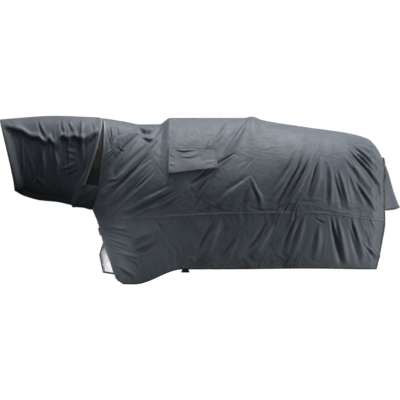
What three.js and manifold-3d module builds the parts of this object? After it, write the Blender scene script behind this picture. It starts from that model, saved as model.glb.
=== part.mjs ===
// A waterproof riding sheet for a horse, with a neck cover, stirrup flaps and a tail flap.
// Millimetres, +Z up. X runs along the horse from head (-X) to tail (+X); the horse's near (left)
// side is -Y. The origin lies under the spine tape where the sheet rests on the saddle.

import * as THREE from "three";
import Module from "manifold-3d";
import { mergeVertices } from "three/addons/utils/BufferGeometryUtils.js";

const NEAR = -1;
const FAR = 1;

// Cloth, tapes and clearances
const CLOTH = 2;
const TAPE = 1.5;
const SEAM_GAP = 0.6;
const LAYER_GAP = 0.8;
const HALF_SPINE_GAP = 0.2;
const BINDING_WIDTH = 7;
const BINDING_PROUD = 0.7;
const BAND_INSET = CLOTH + 2 * LAYER_GAP + 3;
const BAND_BACK_INSET = BAND_INSET + BINDING_WIDTH + 2;
const RIDGE_DROP = 2.4;

// Body of the sheet, lengths from the origin and heights from it
const COLLAR_TOP_X = -553;
const SHOULDER_X = -430;
const SADDLE_FRONT_X = -150;
const SADDLE_BACK_X = 240;
const HIP_X = 600;
const BACK_X = 1036;
const RUMP_X = BACK_X - 76;
const BACK_TOP_DROP = 215;
const BACK_HEM_X = BACK_X - 38;
const HEM_Z = -839;
const NEAR_CORNER_SAG = 86;
const FAR_CORNER_SAG = 52;
const SEAM_Z = -545;
const BARREL_HALF_WIDTH = 325;
const SHOULDER_HALF_WIDTH = 262;
const BACK_HALF_WIDTH = 212;

// Neck hole and chest line
const COLLAR_BOTTOM = { x: -618, z: -504 };
const COLLAR_HALF_WIDTH = 182;
const COLLAR_BOW = 35;
const CHEST_SEAM = { x: -582, z: -588 };
const CHEST_END = { x: -553, z: -704 };
const NEAR_CORNER = { x: -474, y: 214, z: -900 };
const FAR_TURN = { x: -576, y: 70, z: -772 };
const FAR_CORNER = { x: -558, y: 150, z: -872 };

// Neck cover
const NECK_TOP_FRONT = { x: -1133, z: -1 };
const NECK_HEM_GAP = 2 * (SEAM_GAP + BINDING_WIDTH) + 1.8;
const NECK_TOP_BACK = { x: COLLAR_TOP_X - NECK_HEM_GAP, z: 10 };
const NECK_CREST_RISE = 14;
const NECK_BOTTOM_FRONT = { x: -1052, z: -408 };
const NECK_BOTTOM_BACK = { x: -722, z: -490 };
const MOUTH_HALF_WIDTH = 108;
const NECK_HEM_STEP = 12;
const NECK_HEM_HALF_WIDTH = COLLAR_HALF_WIDTH - NECK_HEM_STEP;
const NECK_HEM_BOW = 38;
const MOUTH_BOW = 14;
const MOUTH_PANEL_TOP = 0.1;
const MOUTH_PANEL_BOTTOM = 0.39;
const BAND_FRONT = 0.965;
const GUSSET_SHARE = 0.33;
const GUSSET_LIFT = 5;
const GUSSET_SAG = 7;
const GUSSET_BACK_GAP = BINDING_WIDTH + 2 * SEAM_GAP;

// Stirrup flap and slot
const FLAP_FRONT_X = -180;
const FLAP_BACK_X = 96;
const FLAP_TOP_Z = -168;
const FLAP_FRONT_DROP = 137;
const FLAP_BACK_DROP = 106;
const FLAP_THICKNESS = 1.6;
const FLAP_TOP_OFFSET = 4.5;
const FLAP_FOOT_OFFSET = 24;
const SLOT_X = -42;
const SLOT_Z = -234;
const SLOT_LENGTH = 180;
const SLOT_HEIGHT = 16;
const SLOT_MARGIN = 22;

// Tail flap
const TAIL_GAP = 3;
const TAIL_HALF_WIDTH = 150;
const TAIL_LENGTH = 278;
const TAIL_STAND_OUT = 84;
const TAIL_THICKNESS = 1.8;

// Webbing, tabs and hardware
const SPINE_TAPE_WIDTH = 24;
const NECK_TAPE_WIDTH = 18;
const SEAM_TAPE_WIDTH = 16;
const CHEST_TAB_WIDTH = 44;
const CHEST_TAB_REACH = 62;
const CHEST_TAB_Z = -640;
const UNDERLAP_REACH = 46;
const PATCH_THICKNESS = 1.6;
const STRAP_X = -83;
const STRAP_WIDTH = 38;
const STRAP_THICKNESS = 1.8;
const STRAP_Z = HEM_Z + 1;
const STRAP_SAG = 34;
const WIRE = 2;
const WIRE_CLEARANCE = 0.6;
const LOOP_INSET = 9;

// Mesh steps
const COLUMN_STEP = 87;
const ARCH_COLUMNS = Math.ceil((RUMP_X - SHOULDER_X) / COLUMN_STEP);
const FRONT_COLUMNS = 6;
const BACK_SHARES = [0.35, 0.63, 0.85, 1];
const COLLAR_ROWS = 12;
const UPPER_ROWS = 14;
const CHEST_ROWS = 3;
const SKIRT_ROWS = 7;
const BAND_LAST_ROW = 8;

const COLOUR = {
  cloth: 0x4a5057,
  binding: 0x16181a,
  webbing: 0x1f2225,
  steel: 0xb4b6b8,
  plastic: 0x1b1c1e,
};

const wasm = await Module();
wasm.setup();

const root = new THREE.Group();

// ---------------------------------------------------------------- curves and surfaces

/** Smooth value at x through [x, value] stations, level between two equal stations. */
function through(stations, x) {
  const last = stations.length - 1;
  if (x <= stations[0][0]) return stations[0][1];
  if (x >= stations[last][0]) return stations[last][1];
  const slope = (k) => (stations[k + 1][1] - stations[k][1]) / (stations[k + 1][0] - stations[k][0]);
  const tangent = (k) => {
    if (k === 0) return slope(0);
    if (k === last) return slope(last - 1);
    const before = slope(k - 1);
    const after = slope(k);
    return before * after <= 0 ? 0 : (2 * before * after) / (before + after);
  };
  let i = 0;
  while (x > stations[i + 1][0]) i += 1;
  const span = stations[i + 1][0] - stations[i][0];
  const t = (x - stations[i][0]) / span;
  const s = 1 - t;
  const ends = (1 + 2 * t) * s * s * stations[i][1] + (3 - 2 * t) * t * t * stations[i + 1][1];
  return ends + span * t * s * (s * tangent(i) - t * tangent(i + 1));
}

const lerp = THREE.MathUtils.lerp;
const vec = (x, y, z) => new THREE.Vector3(x, y, z);
const mixPoint = (a, b, t) => new THREE.Vector3().lerpVectors(a, b, t);
const steps = (count) => Array.from({ length: count + 1 }, (_, i) => i / count);

/** Points evenly spaced along a line of straight stretches. */
function spaced(points, count) {
  const path = new THREE.CurvePath();
  for (let i = 1; i < points.length; i += 1) {
    path.add(new THREE.LineCurve3(points[i - 1], points[i]));
  }
  return steps(count).map((t) => path.getPointAt(t));
}

const SPINE_Z = CLOTH + LAYER_GAP + RIDGE_DROP + TAPE;
const TOPLINE = [
  [COLLAR_TOP_X, 6],
  [SHOULDER_X, -14],
  [SHOULDER_X + 90, -30],
  [SADDLE_FRONT_X - 80, -29],
  [SADDLE_FRONT_X - 20, SPINE_Z],
  [SADDLE_BACK_X + 10, SPINE_Z],
  [SADDLE_BACK_X + 56, SPINE_Z + 8],
  [SADDLE_BACK_X + 110, -4],
  [HIP_X, -45],
  [BACK_X - 181, -82],
  [RUMP_X, -115],
  [BACK_X - 31, -162],
  [BACK_X, -BACK_TOP_DROP],
];
const HALF_WIDTH = [
  [SHOULDER_X, SHOULDER_HALF_WIDTH],
  [SADDLE_FRONT_X, BARREL_HALF_WIDTH - 30],
  [SADDLE_BACK_X, BARREL_HALF_WIDTH],
  [HIP_X, BARREL_HALF_WIDTH + 5],
  [RUMP_X, BACK_HALF_WIDTH + 52],
  [BACK_X, BACK_HALF_WIDTH],
];
const WIDEST_Z = [
  [SHOULDER_X, -380],
  [SADDLE_BACK_X, -435],
  [HIP_X, -410],
  [BACK_X, -505],
];
const ROUNDNESS = [
  [SHOULDER_X, 1.8],
  [SADDLE_FRONT_X, 1.72],
  [SADDLE_BACK_X, 1.75],
  [HIP_X, 2.15],
  [BACK_X, 2.3],
];
const hemLine = (sag) => [
  [SHOULDER_X, HEM_Z - sag],
  [SHOULDER_X + 60, HEM_Z - sag],
  [SHOULDER_X + 330, HEM_Z - 2],
  [SADDLE_BACK_X, HEM_Z],
  [HIP_X, HEM_Z + 4],
  [BACK_X, HEM_Z - 4],
];
const HEM_LINE = { [NEAR]: hemLine(NEAR_CORNER_SAG), [FAR]: hemLine(FAR_CORNER_SAG) };
const SEAM_LINE = [
  [SHOULDER_X, SEAM_Z - 20],
  [SADDLE_BACK_X, SEAM_Z + 10],
  [HIP_X, SEAM_Z + 14],
  [BACK_X, SEAM_Z - 32],
];
const BACK_LINE = [
  [HEM_Z, BACK_HEM_X],
  [HEM_Z + 145, BACK_X - 12],
  [SEAM_Z - 20, BACK_X + 2],
  [-BACK_TOP_DROP, BACK_X],
];

/** Half width of the draped body at length x and height z, on its outer face. */
function halfWidthAt(x, z) {
  const wide = through(HALF_WIDTH, x);
  const level = through(WIDEST_Z, x);
  if (z <= level) return wide;
  const n = through(ROUNDNESS, x);
  const rise = Math.min(1, (z - level) / (through(TOPLINE, x) - level));
  return wide * (1 - rise ** n) ** (1 / n);
}

/** One side of the arch at length x: the rows above the long seam and the rows below it. */
function archColumn(side, x) {
  const n = through(ROUNDNESS, x);
  const wide = through(HALF_WIDTH, x);
  const level = through(WIDEST_Z, x);
  const crown = through(TOPLINE, x) - level;
  const seam = through(SEAM_LINE, x);
  const quarter = steps(24).map((t) => {
    const angle = (t * Math.PI) / 2;
    const y = HALF_SPINE_GAP + (wide - HALF_SPINE_GAP) * Math.sin(angle) ** (2 / n);
    return vec(x, side * y, level + crown * Math.max(0, Math.cos(angle)) ** (2 / n));
  });
  const upper = spaced([...quarter, vec(x, side * wide, seam)], UPPER_ROWS);
  const skirtTop = vec(x, side * wide, seam - SEAM_GAP);
  const hem = vec(x, side * wide, through(HEM_LINE[side], x));
  return { upper, skirt: spaced([skirtTop, hem], SKIRT_ROWS) };
}

/** The arch near the tail, its points moved back to the slanted rear line. */
function backColumn(side, share) {
  const column = archColumn(side, lerp(RUMP_X, BACK_X, share));
  const shift = (p) => vec(lerp(RUMP_X, through(BACK_LINE, p.z), share), p.y, p.z);
  return { upper: column.upper.map(shift), skirt: column.skirt.map(shift) };
}

/** A point on an oblique loop from a top point to a bottom point, s from 0 at the top to 1. */
function loopPoint(side, top, bottom, halfWidth, bow, s) {
  const down = (1 - Math.cos(Math.PI * s)) / 2;
  const swell = Math.max(0, Math.sin(Math.PI * s));
  const y = side * (HALF_SPINE_GAP + halfWidth * swell ** 0.8);
  return vec(lerp(top.x, bottom.x, down) + bow * swell, y, lerp(top.z, bottom.z, down));
}

const COLLAR_TOP = { x: COLLAR_TOP_X, z: TOPLINE[0][1] };

function collarPoint(side, s) {
  return loopPoint(side, COLLAR_TOP, COLLAR_BOTTOM, COLLAR_HALF_WIDTH, COLLAR_BOW, s);
}

/** The front edge of one side: the neck hole, the chest line, then the cut-away corner. */
function frontColumn(side) {
  const centre = (p, drop = 0) => vec(p.x, side * HALF_SPINE_GAP, p.z - drop);
  const collar = steps(COLLAR_ROWS).map((s) => collarPoint(side, s));
  const bridge = spaced([centre(COLLAR_BOTTOM), centre(CHEST_SEAM)], UPPER_ROWS - COLLAR_ROWS);
  const chest = spaced([centre(CHEST_SEAM, SEAM_GAP), centre(CHEST_END)], CHEST_ROWS);
  const outward = (p) => vec(p.x, side * p.y, p.z);
  const cut = side === NEAR ? [outward(NEAR_CORNER)] : [outward(FAR_TURN), outward(FAR_CORNER)];
  const corner = spaced([centre(CHEST_END), ...cut], SKIRT_ROWS - CHEST_ROWS);
  return { upper: [...collar, ...bridge.slice(1)], skirt: [...chest, ...corner.slice(1)] };
}

/** One row set between the shoulder arch and the front edge, rounded like a chest. */
function frontBlend(arch, front, share, chestRoundness) {
  const angle = (share * Math.PI) / 2;
  return arch.map((a, j) => {
    const f = front[j];
    const soft = Math.sin(angle) ** 2;
    const round = 1 - Math.cos(angle);
    const turn = lerp(soft, round, chestRoundness(j));
    return vec(lerp(a.x, f.x, Math.sin(angle)), lerp(a.y, f.y, turn), lerp(a.z, f.z, Math.sin(angle)));
  });
}

/** All columns of one side, front edge first, as separate grids for the upper and skirt panels. */
function bodyGrids(side) {
  const shoulder = archColumn(side, SHOULDER_X);
  const front = frontColumn(side);
  const chestShare = (j) => THREE.MathUtils.smoothstep(j / UPPER_ROWS, 0.45, 0.9);
  const upper = [];
  const skirt = [];
  for (let k = FRONT_COLUMNS; k > 0; k -= 1) {
    upper.push(frontBlend(shoulder.upper, front.upper, k / FRONT_COLUMNS, chestShare));
    skirt.push(frontBlend(shoulder.skirt, front.skirt, k / FRONT_COLUMNS, () => 1));
  }
  const rest = steps(ARCH_COLUMNS).map((t) => archColumn(side, lerp(SHOULDER_X, RUMP_X, t)));
  rest.push(...BACK_SHARES.map((share) => backColumn(side, share)));
  upper.push(...rest.map((c) => c.upper));
  skirt.push(...rest.map((c) => c.skirt));
  return { upper, skirt };
}

/** Unit normals of a grid of columns (front to back) and rows (top to bottom), facing away from the horse. */
function gridNormals(grid, side) {
  const at = (i, j) => grid[THREE.MathUtils.clamp(i, 0, grid.length - 1)][
    THREE.MathUtils.clamp(j, 0, grid[0].length - 1)
  ];
  return grid.map((column, i) =>
    column.map((p, j) => {
      const along = new THREE.Vector3().subVectors(at(i + 1, j), at(i - 1, j));
      const down = new THREE.Vector3().subVectors(at(i, j + 1), at(i, j - 1));
      const normal = new THREE.Vector3().crossVectors(along, down).multiplyScalar(side);
      if (Math.abs(p.y) < 1) normal.y = 0;
      return normal.normalize();
    }),
  );
}

/** A grid moved along its normals by a distance (negative is towards the horse). */
function offsetGrid(grid, normals, distance) {
  return grid.map((column, i) => column.map((p, j) => p.clone().addScaledVector(normals[i][j], distance)));
}

// ---------------------------------------------------------------- solids

/** A closed solid between two grids of the same size. */
function slab(outer, inner) {
  const columns = outer.length;
  const rows = outer[0].length;
  const position = [...outer.flat(), ...inner.flat()].flatMap((p) => [p.x, p.y, p.z]);
  const top = (i, j) => i * rows + j;
  const under = (i, j) => columns * rows + top(i, j);
  const index = [];
  const quad = (a, b, c, d) => index.push(a, b, c, a, c, d);
  for (let i = 0; i < columns - 1; i += 1) {
    for (let j = 0; j < rows - 1; j += 1) {
      quad(top(i, j), top(i + 1, j), top(i + 1, j + 1), top(i, j + 1));
      quad(under(i, j), under(i, j + 1), under(i + 1, j + 1), under(i + 1, j));
    }
    quad(top(i, 0), under(i, 0), under(i + 1, 0), top(i + 1, 0));
    quad(top(i, rows - 1), top(i + 1, rows - 1), under(i + 1, rows - 1), under(i, rows - 1));
  }
  for (let j = 0; j < rows - 1; j += 1) {
    quad(top(0, j), top(0, j + 1), under(0, j + 1), under(0, j));
    quad(top(columns - 1, j), under(columns - 1, j), under(columns - 1, j + 1), top(columns - 1, j + 1));
  }
  return closedGeometry(position, index);
}

/** A geometry whose faces point out, whichever way round its grids were given. */
function closedGeometry(position, index) {
  let volume = 0;
  const corner = (k) => vec(position[3 * index[k]], position[3 * index[k] + 1], position[3 * index[k] + 2]);
  for (let k = 0; k < index.length; k += 3) {
    volume += corner(k).dot(new THREE.Vector3().crossVectors(corner(k + 1), corner(k + 2)));
  }
  if (volume < 0) index.reverse();
  const geometry = new THREE.BufferGeometry();
  geometry.setAttribute("position", new THREE.Float32BufferAttribute(position, 3));
  geometry.setIndex(index);
  geometry.computeVertexNormals();
  return geometry;
}

/** A three.js geometry as a solid that can be joined and cut. */
function solidOf(geometry) {
  const bare = geometry.clone();
  bare.deleteAttribute("normal");
  bare.deleteAttribute("uv");
  const merged = mergeVertices(bare, 1e-4);
  const vertProperties = merged.attributes.position.array;
  const triVerts = new Uint32Array(merged.index.array);
  return new wasm.Manifold(new wasm.Mesh({ numProp: 3, vertProperties, triVerts }));
}

/** A joined or cut solid as a three.js geometry. */
function geometryOf(solid) {
  const mesh = solid.getMesh();
  const geometry = new THREE.BufferGeometry();
  geometry.setAttribute("position", new THREE.Float32BufferAttribute(mesh.vertProperties, 3));
  geometry.setIndex(new THREE.BufferAttribute(mesh.triVerts, 1));
  geometry.computeVertexNormals();
  return geometry;
}

/** Adds one named sub-part to the sheet. */
function addPart(name, geometry, color, roughness = 0.7, metalness = 0) {
  const mesh = new THREE.Mesh(geometry, new THREE.MeshStandardMaterial({ color, roughness, metalness }));
  mesh.name = name;
  root.add(mesh);
  return mesh;
}

/** A cloth panel: its outer face is the grid, its thickness goes towards the horse. */
function panelGeometry(grid, side, thickness = CLOTH, lift = 0) {
  const normals = gridNormals(grid, side);
  return slab(offsetGrid(grid, normals, lift), offsetGrid(grid, normals, lift - thickness));
}

/** A folded binding just past an edge line; inside is the same line one row further in. */
function bindingGeometry(edge, inside, normals, thickness) {
  const across = edge.map((p, i) => new THREE.Vector3().subVectors(p, inside[i]).normalize());
  const section = (height) =>
    edge.map((p, i) =>
      [SEAM_GAP, SEAM_GAP + BINDING_WIDTH].map((reach) =>
        p.clone().addScaledVector(across[i], reach).addScaledVector(normals[i], height),
      ),
    );
  return slab(section(BINDING_PROUD), section(-thickness - BINDING_PROUD));
}

const sideName = (side) => (side === NEAR ? "left" : "right");

// ---------------------------------------------------------------- body panels and their seams

function slotBlock(side, x, z, margin) {
  const reach = 2 * BARREL_HALF_WIDTH;
  const block = new THREE.BoxGeometry(SLOT_LENGTH + 2 * margin, reach, SLOT_HEIGHT + 2 * margin);
  block.translate(x, side * (reach / 2 + BARREL_HALF_WIDTH / 3), z);
  return block;
}

function addBodyPanels(side, grids) {
  const slot = solidOf(slotBlock(side, SLOT_X, SLOT_Z, 0));
  const upper = solidOf(panelGeometry(grids.upper, side)).subtract(slot);
  addPart(`upper_panel_${sideName(side)}`, geometryOf(upper), COLOUR.cloth, 0.45);
  addPart(`skirt_panel_${sideName(side)}`, panelGeometry(grids.skirt, side), COLOUR.cloth, 0.45);
}

/** Cloth facing sewn round the stirrup slot, on the inner face of the upper panel. */
function addSlotFacing(side) {
  const halfLength = SLOT_LENGTH / 2 + SLOT_MARGIN;
  const halfHeight = SLOT_HEIGHT / 2 + SLOT_MARGIN;
  const grid = steps(4).map((u) =>
    steps(3).map((v) => {
      const x = SLOT_X + lerp(-halfLength, halfLength, u);
      const z = SLOT_Z - lerp(-halfHeight, halfHeight, v);
      return vec(x, side * halfWidthAt(x, z), z);
    }),
  );
  const slot = solidOf(slotBlock(side, SLOT_X, SLOT_Z, 0));
  const facing = solidOf(panelGeometry(grid, side, TAPE, -CLOTH - 2 * LAYER_GAP)).subtract(slot);
  addPart(`slot_facing_${sideName(side)}`, geometryOf(facing), COLOUR.webbing);
}

/** Tape behind the long seam, from the chest to the rear edge. */
function addWaistTape(side, grids) {
  const normals = gridNormals(grids.skirt, side);
  const columns = grids.skirt.slice(1, -1);
  const grid = columns.map((column, i) => {
    const down = new THREE.Vector3().subVectors(column[1], column[0]).normalize();
    return [-0.5, 0.5].map((share) =>
      column[0]
        .clone()
        .addScaledVector(down, share * SEAM_TAPE_WIDTH)
        .addScaledVector(normals[i + 1][0], -CLOTH - LAYER_GAP),
    );
  });
  addPart(`waist_tape_${sideName(side)}`, panelGeometry(grid, side, TAPE), COLOUR.webbing);
}

/** Tape along the spine under the joined edges of the two upper panels. */
function addSpineTape(grids) {
  const normals = gridNormals(grids.upper, FAR);
  const columns = grids.upper.slice(1, -1);
  const line = (depth) =>
    columns.map((column, i) => {
      const p = column[0].clone().addScaledVector(normals[i + 1][0], -depth);
      return [-0.5, 0, 0.5].map((share) => vec(p.x, share * SPINE_TAPE_WIDTH, p.z));
    });
  addPart("spine_tape", slab(line(SPINE_Z - TAPE), line(SPINE_Z)), COLOUR.webbing);
}

function addBodyBindings(side, grids) {
  const name = sideName(side);
  const { upper, skirt } = grids;
  const upperNormals = gridNormals(upper, side);
  const skirtNormals = gridNormals(skirt, side);
  const last = SKIRT_ROWS;
  const hem = bindingGeometry(
    skirt.map((c) => c[last]),
    skirt.map((c) => c[last - 1]),
    skirtNormals.map((c) => c[last]),
    CLOTH,
  );
  addPart(`hem_binding_${name}`, hem, COLOUR.binding);
  const cutRow = CHEST_ROWS + 1;
  const front = bindingGeometry(
    skirt[0].slice(cutRow),
    skirt[1].slice(cutRow),
    skirtNormals[0].slice(cutRow),
    CLOTH,
  );
  addPart(`front_binding_${name}`, front, COLOUR.binding);
  const collarRows = [1, COLLAR_ROWS];
  const collar = bindingGeometry(
    upper[0].slice(...collarRows),
    upper[1].slice(...collarRows),
    upperNormals[0].slice(...collarRows),
    CLOTH,
  );
  addPart(`collar_binding_${name}`, collar, COLOUR.binding);
  const end = upper.length - 1;
  const rearEdge = [...upper[end].slice(1), ...skirt[end].slice(1)];
  const rearInside = [...upper[end - 1].slice(1), ...skirt[end - 1].slice(1)];
  const rearNormals = [...upperNormals[end].slice(1), ...skirtNormals[end].slice(1)];
  addPart(`rear_binding_${name}`, bindingGeometry(rearEdge, rearInside, rearNormals, CLOTH), COLOUR.binding);
}

// ---------------------------------------------------------------- neck cover

const CREST_STATIONS = [
  [0, 0],
  [0.5, NECK_CREST_RISE],
  [1, 0],
];
const THROAT_STATIONS = [
  [0, 0],
  [0.15, -14],
  [0.35, -18],
  [0.8, -0.5],
  [1, 0],
];

/** A point on the neck cover's outer face, k from 0 at the mouth to 1 at the rear hem. */
function neckPoint(side, k, s, inset = 0) {
  const top = {
    x: lerp(NECK_TOP_FRONT.x, NECK_TOP_BACK.x, k),
    z: lerp(NECK_TOP_FRONT.z, NECK_TOP_BACK.z, k) + through(CREST_STATIONS, k) - inset,
  };
  const bottom = {
    x: lerp(NECK_BOTTOM_FRONT.x, NECK_BOTTOM_BACK.x, k),
    z: lerp(NECK_BOTTOM_FRONT.z, NECK_BOTTOM_BACK.z, k) + through(THROAT_STATIONS, k) + inset,
  };
  const halfWidth = lerp(MOUTH_HALF_WIDTH, NECK_HEM_HALF_WIDTH, k ** 1.3) - inset;
  const down = Math.min(1, 1.3 * s);
  return loopPoint(side, top, bottom, halfWidth, lerp(MOUTH_BOW * down, NECK_HEM_BOW, k * k), s);
}

/** Where the curved seam between mouth panel and neck panel crosses the row s. */
function mouthSeam(s) {
  return lerp(MOUTH_PANEL_TOP, MOUTH_PANEL_BOTTOM, (1 - Math.cos(Math.PI * s)) / 2);
}

function addNeckCover(side) {
  const name = sideName(side);
  const rows = steps(12);
  const gap = SEAM_GAP / (NECK_TOP_BACK.x - NECK_TOP_FRONT.x);
  const mouth = steps(3).map((u) => rows.map((s) => neckPoint(side, u * mouthSeam(s), s)));
  const neck = steps(8).map((u) =>
    rows.map((s) => neckPoint(side, lerp(mouthSeam(s) + 2 * gap, 1, u), s)),
  );
  addPart(`mouth_panel_${name}`, panelGeometry(mouth, side), COLOUR.cloth, 0.45);
  addPart(`neck_panel_${name}`, panelGeometry(neck, side), COLOUR.cloth, 0.45);
  const mouthNormals = gridNormals(mouth, side);
  const neckNormals = gridNormals(neck, side);
  const mouthBinding = bindingGeometry(mouth[0], mouth[1], mouthNormals[0], CLOTH);
  addPart(`mouth_binding_${name}`, mouthBinding, COLOUR.binding);
  const inner = rows.slice(1, -2).map((_, j) => j + 1);
  const end = neck.length - 1;
  const hem = bindingGeometry(
    inner.map((j) => neck[end][j]),
    inner.map((j) => neck[end - 1][j]),
    inner.map((j) => neckNormals[end][j]),
    CLOTH,
  );
  addPart(`neck_hem_binding_${name}`, hem, COLOUR.binding);
}

/** Tape inside the crest seam or the throat seam of the neck cover. */
function neckTape(name, s, towardsInside) {
  const height = (depth) =>
    steps(10).map((t) => {
      const p = neckPoint(FAR, lerp(0.02, 0.97, t), s);
      return [-0.5, 0, 0.5].map((share) =>
        vec(p.x, share * NECK_TAPE_WIDTH, p.z + towardsInside * depth),
      );
    });
  const start = CLOTH + LAYER_GAP + RIDGE_DROP;
  addPart(name, slab(height(start), height(start + TAPE)), COLOUR.webbing);
}

/** Hook-and-loop band between the neck cover's rear hem and the body's collar. */
function addCollarBand(side, grids) {
  const collar = grids.upper[0];
  const normals = gridNormals(grids.upper, side)[0];
  const rows = Array.from({ length: BAND_LAST_ROW }, (_, j) => j + 1);
  const grid = steps(3).map((u) =>
    rows.map((j) => {
      const hem = neckPoint(side, BAND_FRONT, j / COLLAR_ROWS, BAND_INSET);
      const back = collar[j].clone().addScaledVector(normals[j], -BAND_BACK_INSET);
      return mixPoint(hem, back, u);
    }),
  );
  addPart(`collar_band_${sideName(side)}`, panelGeometry(grid, side, TAPE), COLOUR.webbing, 0.9);
}

/** Soft gusset under the throat, a trough from the near side round to the far side. */
function addThroatGusset() {
  const turn = (u) => {
    const side = u < 0 ? NEAR : FAR;
    const s = 1 - GUSSET_SHARE * Math.abs(u);
    const sag = GUSSET_SAG * (1 - Math.abs(u));
    const hem = neckPoint(side, 0.985, s, -GUSSET_LIFT - sag);
    const collar = collarPoint(side, s);
    const back = vec(collar.x - GUSSET_BACK_GAP, collar.y, collar.z - 3 - sag);
    const onCentre = Math.abs(u) < 1e-6;
    const centred = (p) => (onCentre ? vec(p.x, 0, p.z) : p);
    return [hem, mixPoint(hem, back, 0.5), back].map(centred);
  };
  const line = [-1, -0.75, -0.5, -0.25, 0, 0.25, 0.5, 0.75, 1].map(turn);
  const away = (p) => new THREE.Vector3(0, p.y, p.z + 380).normalize();
  const outer = line.map((row) => row.map((p) => p.clone().addScaledVector(away(p), TAPE)));
  addPart("throat_gusset", slab(outer, line), COLOUR.cloth, 0.5);
}

// ---------------------------------------------------------------- flaps

/** A rain flap over the stirrup slot: flat across, standing off towards its foot. */
function addStirrupFlap(side) {
  const name = sideName(side);
  const widest = (z) => Math.max(...steps(6).map((t) => halfWidthAt(lerp(FLAP_FRONT_X, FLAP_BACK_X, t), z)));
  const point = (u, v) => {
    const x = lerp(FLAP_FRONT_X, FLAP_BACK_X, u);
    const z = FLAP_TOP_Z - v * lerp(FLAP_FRONT_DROP, FLAP_BACK_DROP, u);
    const level = FLAP_TOP_Z - v * FLAP_FRONT_DROP;
    const y = widest(level) + lerp(FLAP_TOP_OFFSET, FLAP_FOOT_OFFSET, v);
    return vec(x, side * y, z);
  };
  const grid = steps(8).map((u) => steps(5).map((v) => point(u, v)));
  const normals = gridNormals(grid, side);
  addPart(`stirrup_flap_${name}`, panelGeometry(grid, side, FLAP_THICKNESS), COLOUR.cloth, 0.45);
  const foot = bindingGeometry(
    grid.map((c) => c[5]),
    grid.map((c) => c[4]),
    normals.map((c) => c[5]),
    FLAP_THICKNESS,
  );
  addPart(`flap_binding_${name}`, foot, COLOUR.binding);
}

/** Tail flap: hangs from the rear edge and stands out over the tail. */
function addTailFlap() {
  const back = BACK_X + SEAM_GAP + BINDING_WIDTH + TAIL_GAP;
  const line = (lift) =>
    steps(12).map((t) => {
      const across = lerp(-1, 1, t);
      const y = across * TAIL_HALF_WIDTH;
      const level = through(WIDEST_Z, BACK_X);
      const crown = -BACK_TOP_DROP - level;
      const arch = (1 - Math.abs(y / BACK_HALF_WIDTH) ** 2.3) ** (1 / 2.3);
      const top = level + crown * arch - BINDING_WIDTH;
      return steps(7).map((v) => {
        const swell = 1 - across * across;
        const x = back + TAIL_STAND_OUT * swell * v ** 1.35;
        const foot = -BACK_TOP_DROP - TAIL_LENGTH - 20 * Math.abs(across);
        return vec(x + lift, y * (1 - 0.06 * v), lerp(top, foot, v));
      });
    });
  const outer = line(TAIL_THICKNESS);
  const inner = line(0);
  addPart("tail_flap", slab(outer, inner), COLOUR.cloth, 0.45);
  const down = new THREE.Vector3(0, 0, -1);
  const foot = (grid, lift) =>
    grid.map((c) =>
      [SEAM_GAP, SEAM_GAP + BINDING_WIDTH].map((reach) =>
        c[7].clone().addScaledVector(down, reach).add(vec(lift, 0, 0)),
      ),
    );
  addPart("tail_flap_binding", slab(foot(outer, BINDING_PROUD), foot(inner, -BINDING_PROUD)), COLOUR.binding);
}

// ---------------------------------------------------------------- chest closure

/** A strip that follows the front of the chest, lifted off the panels' outer face. */
function chestStrip(yFrom, yTo, zTop, zFoot, lift, thickness) {
  const depth = SHOULDER_HALF_WIDTH;
  const frontAt = (z) => {
    const t = (z - CHEST_SEAM.z) / (CHEST_END.z - CHEST_SEAM.z);
    return lerp(CHEST_SEAM.x, CHEST_END.x, t);
  };
  const line = (height) =>
    steps(6).map((u) =>
      steps(3).map((v) => {
        const y = lerp(yFrom, yTo, u);
        const z = lerp(zTop, zFoot, v);
        const reach = SHOULDER_X - frontAt(z);
        const x = SHOULDER_X - reach * Math.sqrt(1 - (y / depth) ** 2);
        return vec(x - height, y, z);
      }),
    );
  return slab(line(lift), line(lift - thickness));
}

function addChestClosure() {
  const top = CHEST_TAB_Z + CHEST_TAB_WIDTH / 2;
  const foot = CHEST_TAB_Z - CHEST_TAB_WIDTH / 2;
  const patchLift = PATCH_THICKNESS + LAYER_GAP;
  const tabLift = patchLift + PATCH_THICKNESS + TAPE + 2 * LAYER_GAP;
  const reach = CHEST_TAB_REACH;
  const tab = chestStrip(-reach, reach, top, foot, tabLift, TAPE);
  addPart("chest_tab", tab, COLOUR.webbing);
  const hookLift = tabLift - TAPE - 0.3;
  const hooks = chestStrip(14, reach - 4, top - 4, foot + 4, hookLift, PATCH_THICKNESS);
  addPart("chest_hook_patch", hooks, COLOUR.binding, 0.95);
  const loops = chestStrip(8, reach + 14, top - 2, foot + 2, patchLift, PATCH_THICKNESS);
  addPart("chest_loop_patch", loops, COLOUR.binding, 0.95);
  const inside = -CLOTH - 2 * LAYER_GAP;
  const lap = chestStrip(-UNDERLAP_REACH, UNDERLAP_REACH, CHEST_SEAM.z + 4, CHEST_END.z + 6, inside, CLOTH);
  addPart("chest_underlap", lap, COLOUR.cloth, 0.45);
}

// ---------------------------------------------------------------- belly strap

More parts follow.
